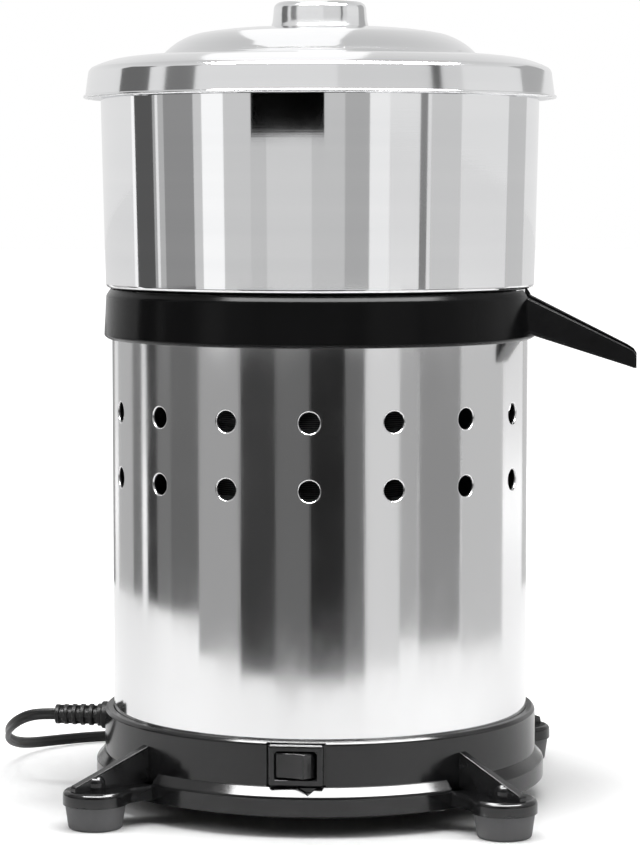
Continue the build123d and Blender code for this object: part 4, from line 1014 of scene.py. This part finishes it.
lidSet = {
    "outline": ((112.4, 336), (110.5, 349.8, 1.8), (104.9, 352.8, 6), (91.5, 356, 12), (75.4, 356.3, 0.9),
                (73.9, 358.3, 0.9), (65.6, 365.3, 7), (47, 369.1, 12), (22, 369.7), (0, 369.7)),
    "thick": 1.2, "hem": (112.4, 336.8, 0.8), "steps": 192,
    "knob": ((0, 369.75), (23.6, 369.75, 0.4), (22.5, 373.2, 2), (21.9, 382, 3.2), (0, 382)), "knobSteps": 96,
}


def rolledEdge(radius, height, size, steps, points=14):
    # a small circle spun round
    return lathe(arcPoints(radius, height, size, 0, 360, points)[:-1], steps)


bowl = lathe(bowlSet["wall"], bowlSet["steps"])
addPart(bowl, rolledEdge(*bowlSet["bead"], bowlSet["steps"]))
makePiece("spunBowl", bowl, "bowl", "bowl_aluminium", "bowl", sharp=50)

lid = spinRound(outline(lidSet["outline"], closed=False, segments=8), lidSet["steps"])
bmesh.ops.solidify(lid, geom=lid.faces[:], thickness=lidSet["thick"] * mm)
addPart(lid, rolledEdge(*lidSet["hem"], lidSet["steps"]))
makePiece("domedLid", lid, "lid", "lid_aluminium", "lid", sharp=50)
knob = lathe(lidSet["knob"], lidSet["knobSteps"], segments=6)
makePiece("lidKnob", knob, "lid", "knob_aluminium", "lid_knob")


# reamer: turned outline, then scalloped between its crests

reamerSet = {
    "side": ((6.3, 293), (6.3, 257.3), (28, 257.3, 0.6), (28, 252, 0.4), (40, 252, 0.6), (41, 254, 0.8),
             (39.2, 262, 0.6), (38, 262.6, 0.4), (36, 275.5, 7), (24.5, 298, 9), (8, 315, 5), (0, 317.3), (0, 293)),
    "longest": 6, "steps": 240, "flutes": 10, "valley": 0.16, "fluteFrom": 262, "fluteFull": 267, "inside": 6.6,
}


def makeReamer(side, longest, steps, flutes, valley, fluteFrom, fluteFull, inside):
    bm = outline(side, segments=8)
    bmesh.ops.subdivide_edges(bm, edges=[edge for edge in bm.edges if edge.calc_length() > longest * mm], cuts=2)
    spinRound(bm, steps)
    for vert in bm.verts:
        rise = (vert.co.z / mm - fluteFrom) / (fluteFull - fluteFrom)
        if rise > 0 and vert.co.xy.length > inside * mm:
            angle = math.atan2(vert.co.y, vert.co.x) * flutes / 2
            shrink = 1 - valley * min(rise, 1) * abs(math.sin(angle))
            vert.co = (vert.co.x * shrink, vert.co.y * shrink, vert.co.z)
    return makePiece("flutedCone", bm, "reamer", "reamer_plastic", "reamer", sharp=30)


makeReamer(**reamerSet)
print("pieces done")


# floor and surroundings; a glow has where it starts, where it is full and its level

floorSet = {"radius": 12, "shade": 0.82, "roughness": 0.9, "specular": 0.1, "nearGlow": (0.105, 0.22, 0.5),
            "farGlow": (0.4, 1.8, 0.6), "nearMirror": (0.16, 0.4, 0.1), "farMirror": (0.7, 1.6, 0.56)}


def makeFloor(radius, shade, roughness, specular, nearGlow, farGlow, nearMirror, farMirror):
    # pale, and white away from the object, for the camera and in reflections
    bm = bmesh.new()
    bmesh.ops.create_circle(bm, cap_ends=True, radius=radius, segments=96)
    floor = meshObject("floor", bm)
    material, tree, shader = newFinish("paleFloor")
    reach = addLength(objectVector(tree))
    path = addNode(tree, "LightPath")
    seen = plus(addFade(reach, *nearGlow), addFade(reach, *farGlow))
    mirrored = plus(addFade(reach, *nearMirror), addFade(reach, *farMirror))
    glow = plus(times(seen, path["Is Camera Ray"]), times(mirrored, path["Is Glossy Ray"]))
    feed(shader, {"Base Color": opaque(shade), "Roughness": roughness, "Specular IOR Level": specular,
                  "Emission Color": opaque(1), "Emission Strength": glow})
    floor.data.materials.append(material)


worldSet = {"ambient": 0.12, "horizon": 0.84, "zenith": 0.62, "skyFrom": 0.1}


def makeWorld(ambient, horizon, zenith, skyFrom):
    # white behind the object, a softer sky in its reflections, and little light from all round
    world = bpy.data.worlds.new("whiteRoom")
    world.use_nodes = True
    scene.world = world
    tree = world.node_tree
    path = addNode(tree, "LightPath")
    upward = addNode(tree, "SeparateXYZ", {0: addNode(tree, "TexCoord")["Generated"]})["Z"]
    sky = addMath("SUBTRACT", horizon - ambient, addFade(upward, skyFrom, 1, horizon - zenith))
    seen = addMath("MAXIMUM", path["Is Camera Ray"], path["Is Transmission Ray"])
    level = plus(times(seen, 1 - ambient), times(path["Is Glossy Ray"], sky))
    feed(tree.nodes["Background"].inputs, {"Color": opaque(1), "Strength": plus(level, ambient)})


# lamps: place, aim, size, power
lampSet = {
    "keySoftbox": ((0, -0.34, 2.2), (0, -0.12, 0), (2.38, 0.66), 37),
    "leftSoftbox": ((-1.2, -0.5, 0.9), (0, 0, 0.15), (0.6, 0.9), 6),
    "rightSoftbox": ((1.2, -0.3, 0.9), (0, 0, 0.15), (0.6, 0.9), 6),
    "backSoftbox": ((0.2, 1.2, 1.2), (0, 0, 0.2), (1, 0.6), 9),
}


def makeLamp(name, place, aim, size, power):
    data = bpy.data.lights.new(name, "AREA")
    data.shape = "RECTANGLE"
    data.size, data.size_y = size
    data.energy = power
    lamp = addObject(name, data)
    lamp.location = place
    lamp.visible_glossy = False
    lamp.rotation_euler = (Vector(aim) - Vector(place)).to_track_quat("-Z", "Y").to_euler()


# grey cards that only the shiny surfaces see: start and end, counted from the switch towards the spout, reach,
# low, high and shade
cardSet = (
    (-136, -113, 0.8, 0, 0.2, 0.5), (-113, -103, 0.8, 0, 0.2, 0.2), (-98, -89, 0.78, 0, 0.2, 0.05),
    (-89, -78, 0.77, 0, 0.2, 0.2), (-78, -58, 0.76, 0, 0.2, 0.15), (-58, -34, 0.6, 0, 0.2, 0.4),
    (-34, -16, 0.54, 0, 0.21, 0.05), (-16, 1, 0.53, 0, 0.21, 0.15), (1, 18, 0.53, 0, 0.21, 0.02),
    (18, 28, 0.54, 0, 0.2, 0.15), (28, 46, 0.57, 0, 0.2, 0.75), (46, 57, 0.68, 0, 0.2, 0.45),
    (57, 83, 0.64, 0, 0.2, 0.3), (83, 118, 0.6, 0, 0.2, 0.6),
    (-104, -101, 0.9, 0.18, 0.41, 1.1), (-101, -86, 0.9, 0.18, 0.41, 0.1), (-86, -84, 0.9, 0.18, 0.41, 0.4),
    (-84, -82, 0.9, 0.18, 0.41, 0.9), (-82, -78, 0.9, 0.18, 0.41, 0.5), (-78, -59, 0.9, 0.18, 0.41, 0.3),
    (-59, -54, 0.9, 0.18, 0.41, 0.65), (-54, -42, 0.9, 0.18, 0.41, 1.1), (-42, -28, 0.9, 0.18, 0.41, 0.65),
    (-28, -20, 0.9, 0.18, 0.41, 0.6), (-20, 2, 0.9, 0.18, 0.41, 0.7), (2, 18, 0.9, 0.18, 0.41, 0.6),
    (18, 30, 0.9, 0.18, 0.41, 0.45), (30, 40, 0.9, 0.18, 0.41, 0.95), (56, 60, 0.9, 0.18, 0.41, 0.25),
    (62, 80, 0.9, 0.18, 0.41, 0.65), (116, 137, 0.9, 0.18, 0.41, 0.6),
    (-103, -81, 0.88, 0.42, 0.76, 0.15), (-71, -54, 0.88, 0.46, 0.76, 0.2), (59, 64, 0.9, 0.48, 0.8, 0.1),
    (117, 148, 0.9, 0.44, 0.8, 0.45), (-27, 8, 0.7, 0.3, 0.42, 0), (14, 76, 0.95, 0.48, 0.95, 0.7),
    (150, 166, 0.8, 0, 0.2, 0.6), (172, 182, 0.8, 0, 0.2, 0.1), (190, 214, 0.8, 0, 0.2, 0.35),
)

# a bright flat strip above the front, and a white board overhead, which the lid mirrors
stripSet = {"start": -36, "end": 48, "reach": 0.94, "low": 1.1, "high": 1.1, "far": 1.36, "shift": 0.62, "turn": 6}
boardSet = {"corners": ((-0.36, -0.16), (0.1, -0.16), (0.1, 1.9), (-0.22, 1.9)), "height": 1.2, "turn": 6}
stripShade, boardShade = 30, 1.15


def bentCard(start, end, reach, low, high, far=None, shift=0, turn=0, steps=12):
    bm = bmesh.new()
    bm.edges.new((bm.verts.new((0, -reach, low)), bm.verts.new((0, -(far or reach), high))))
    spinAbout(moveParts(bm, turned(start)), end - start, steps, use_merge=False, use_duplicate=False)
    return moveParts(bm, turned(turn) @ Matrix.Translation((0, shift, 0)))


def flatBoard(corners, height, turn):
    bm = bmesh.new()
    bm.faces.new([bm.verts.new((x, y, height)) for x, y in corners])
    return moveParts(bm, turned(turn))


def makeCard(name, bm, shade):
    card = meshObject(name, bm)
    card.visible_camera = card.visible_diffuse = card.visible_transmission = card.visible_shadow = False
    material, tree, shader = newFinish(name)
    feed(shader, {"Base Color": opaque(0), "Specular IOR Level": 0, "Emission Color": opaque(shade),
                  "Emission Strength": 1})
    card.data.materials.append(material)


makeFloor(**floorSet)
makeWorld(**worldSet)
for name, values in lampSet.items():
    makeLamp(name, *values)
for index, (*shape, shade) in enumerate(cardSet):
    makeCard("greyCard" + str(index), bentCard(*shape), shade)
makeCard("stripCard", bentCard(**stripSet), stripShade)
makeCard("whiteBoard", flatBoard(**boardSet), boardShade)
print("stage lit")
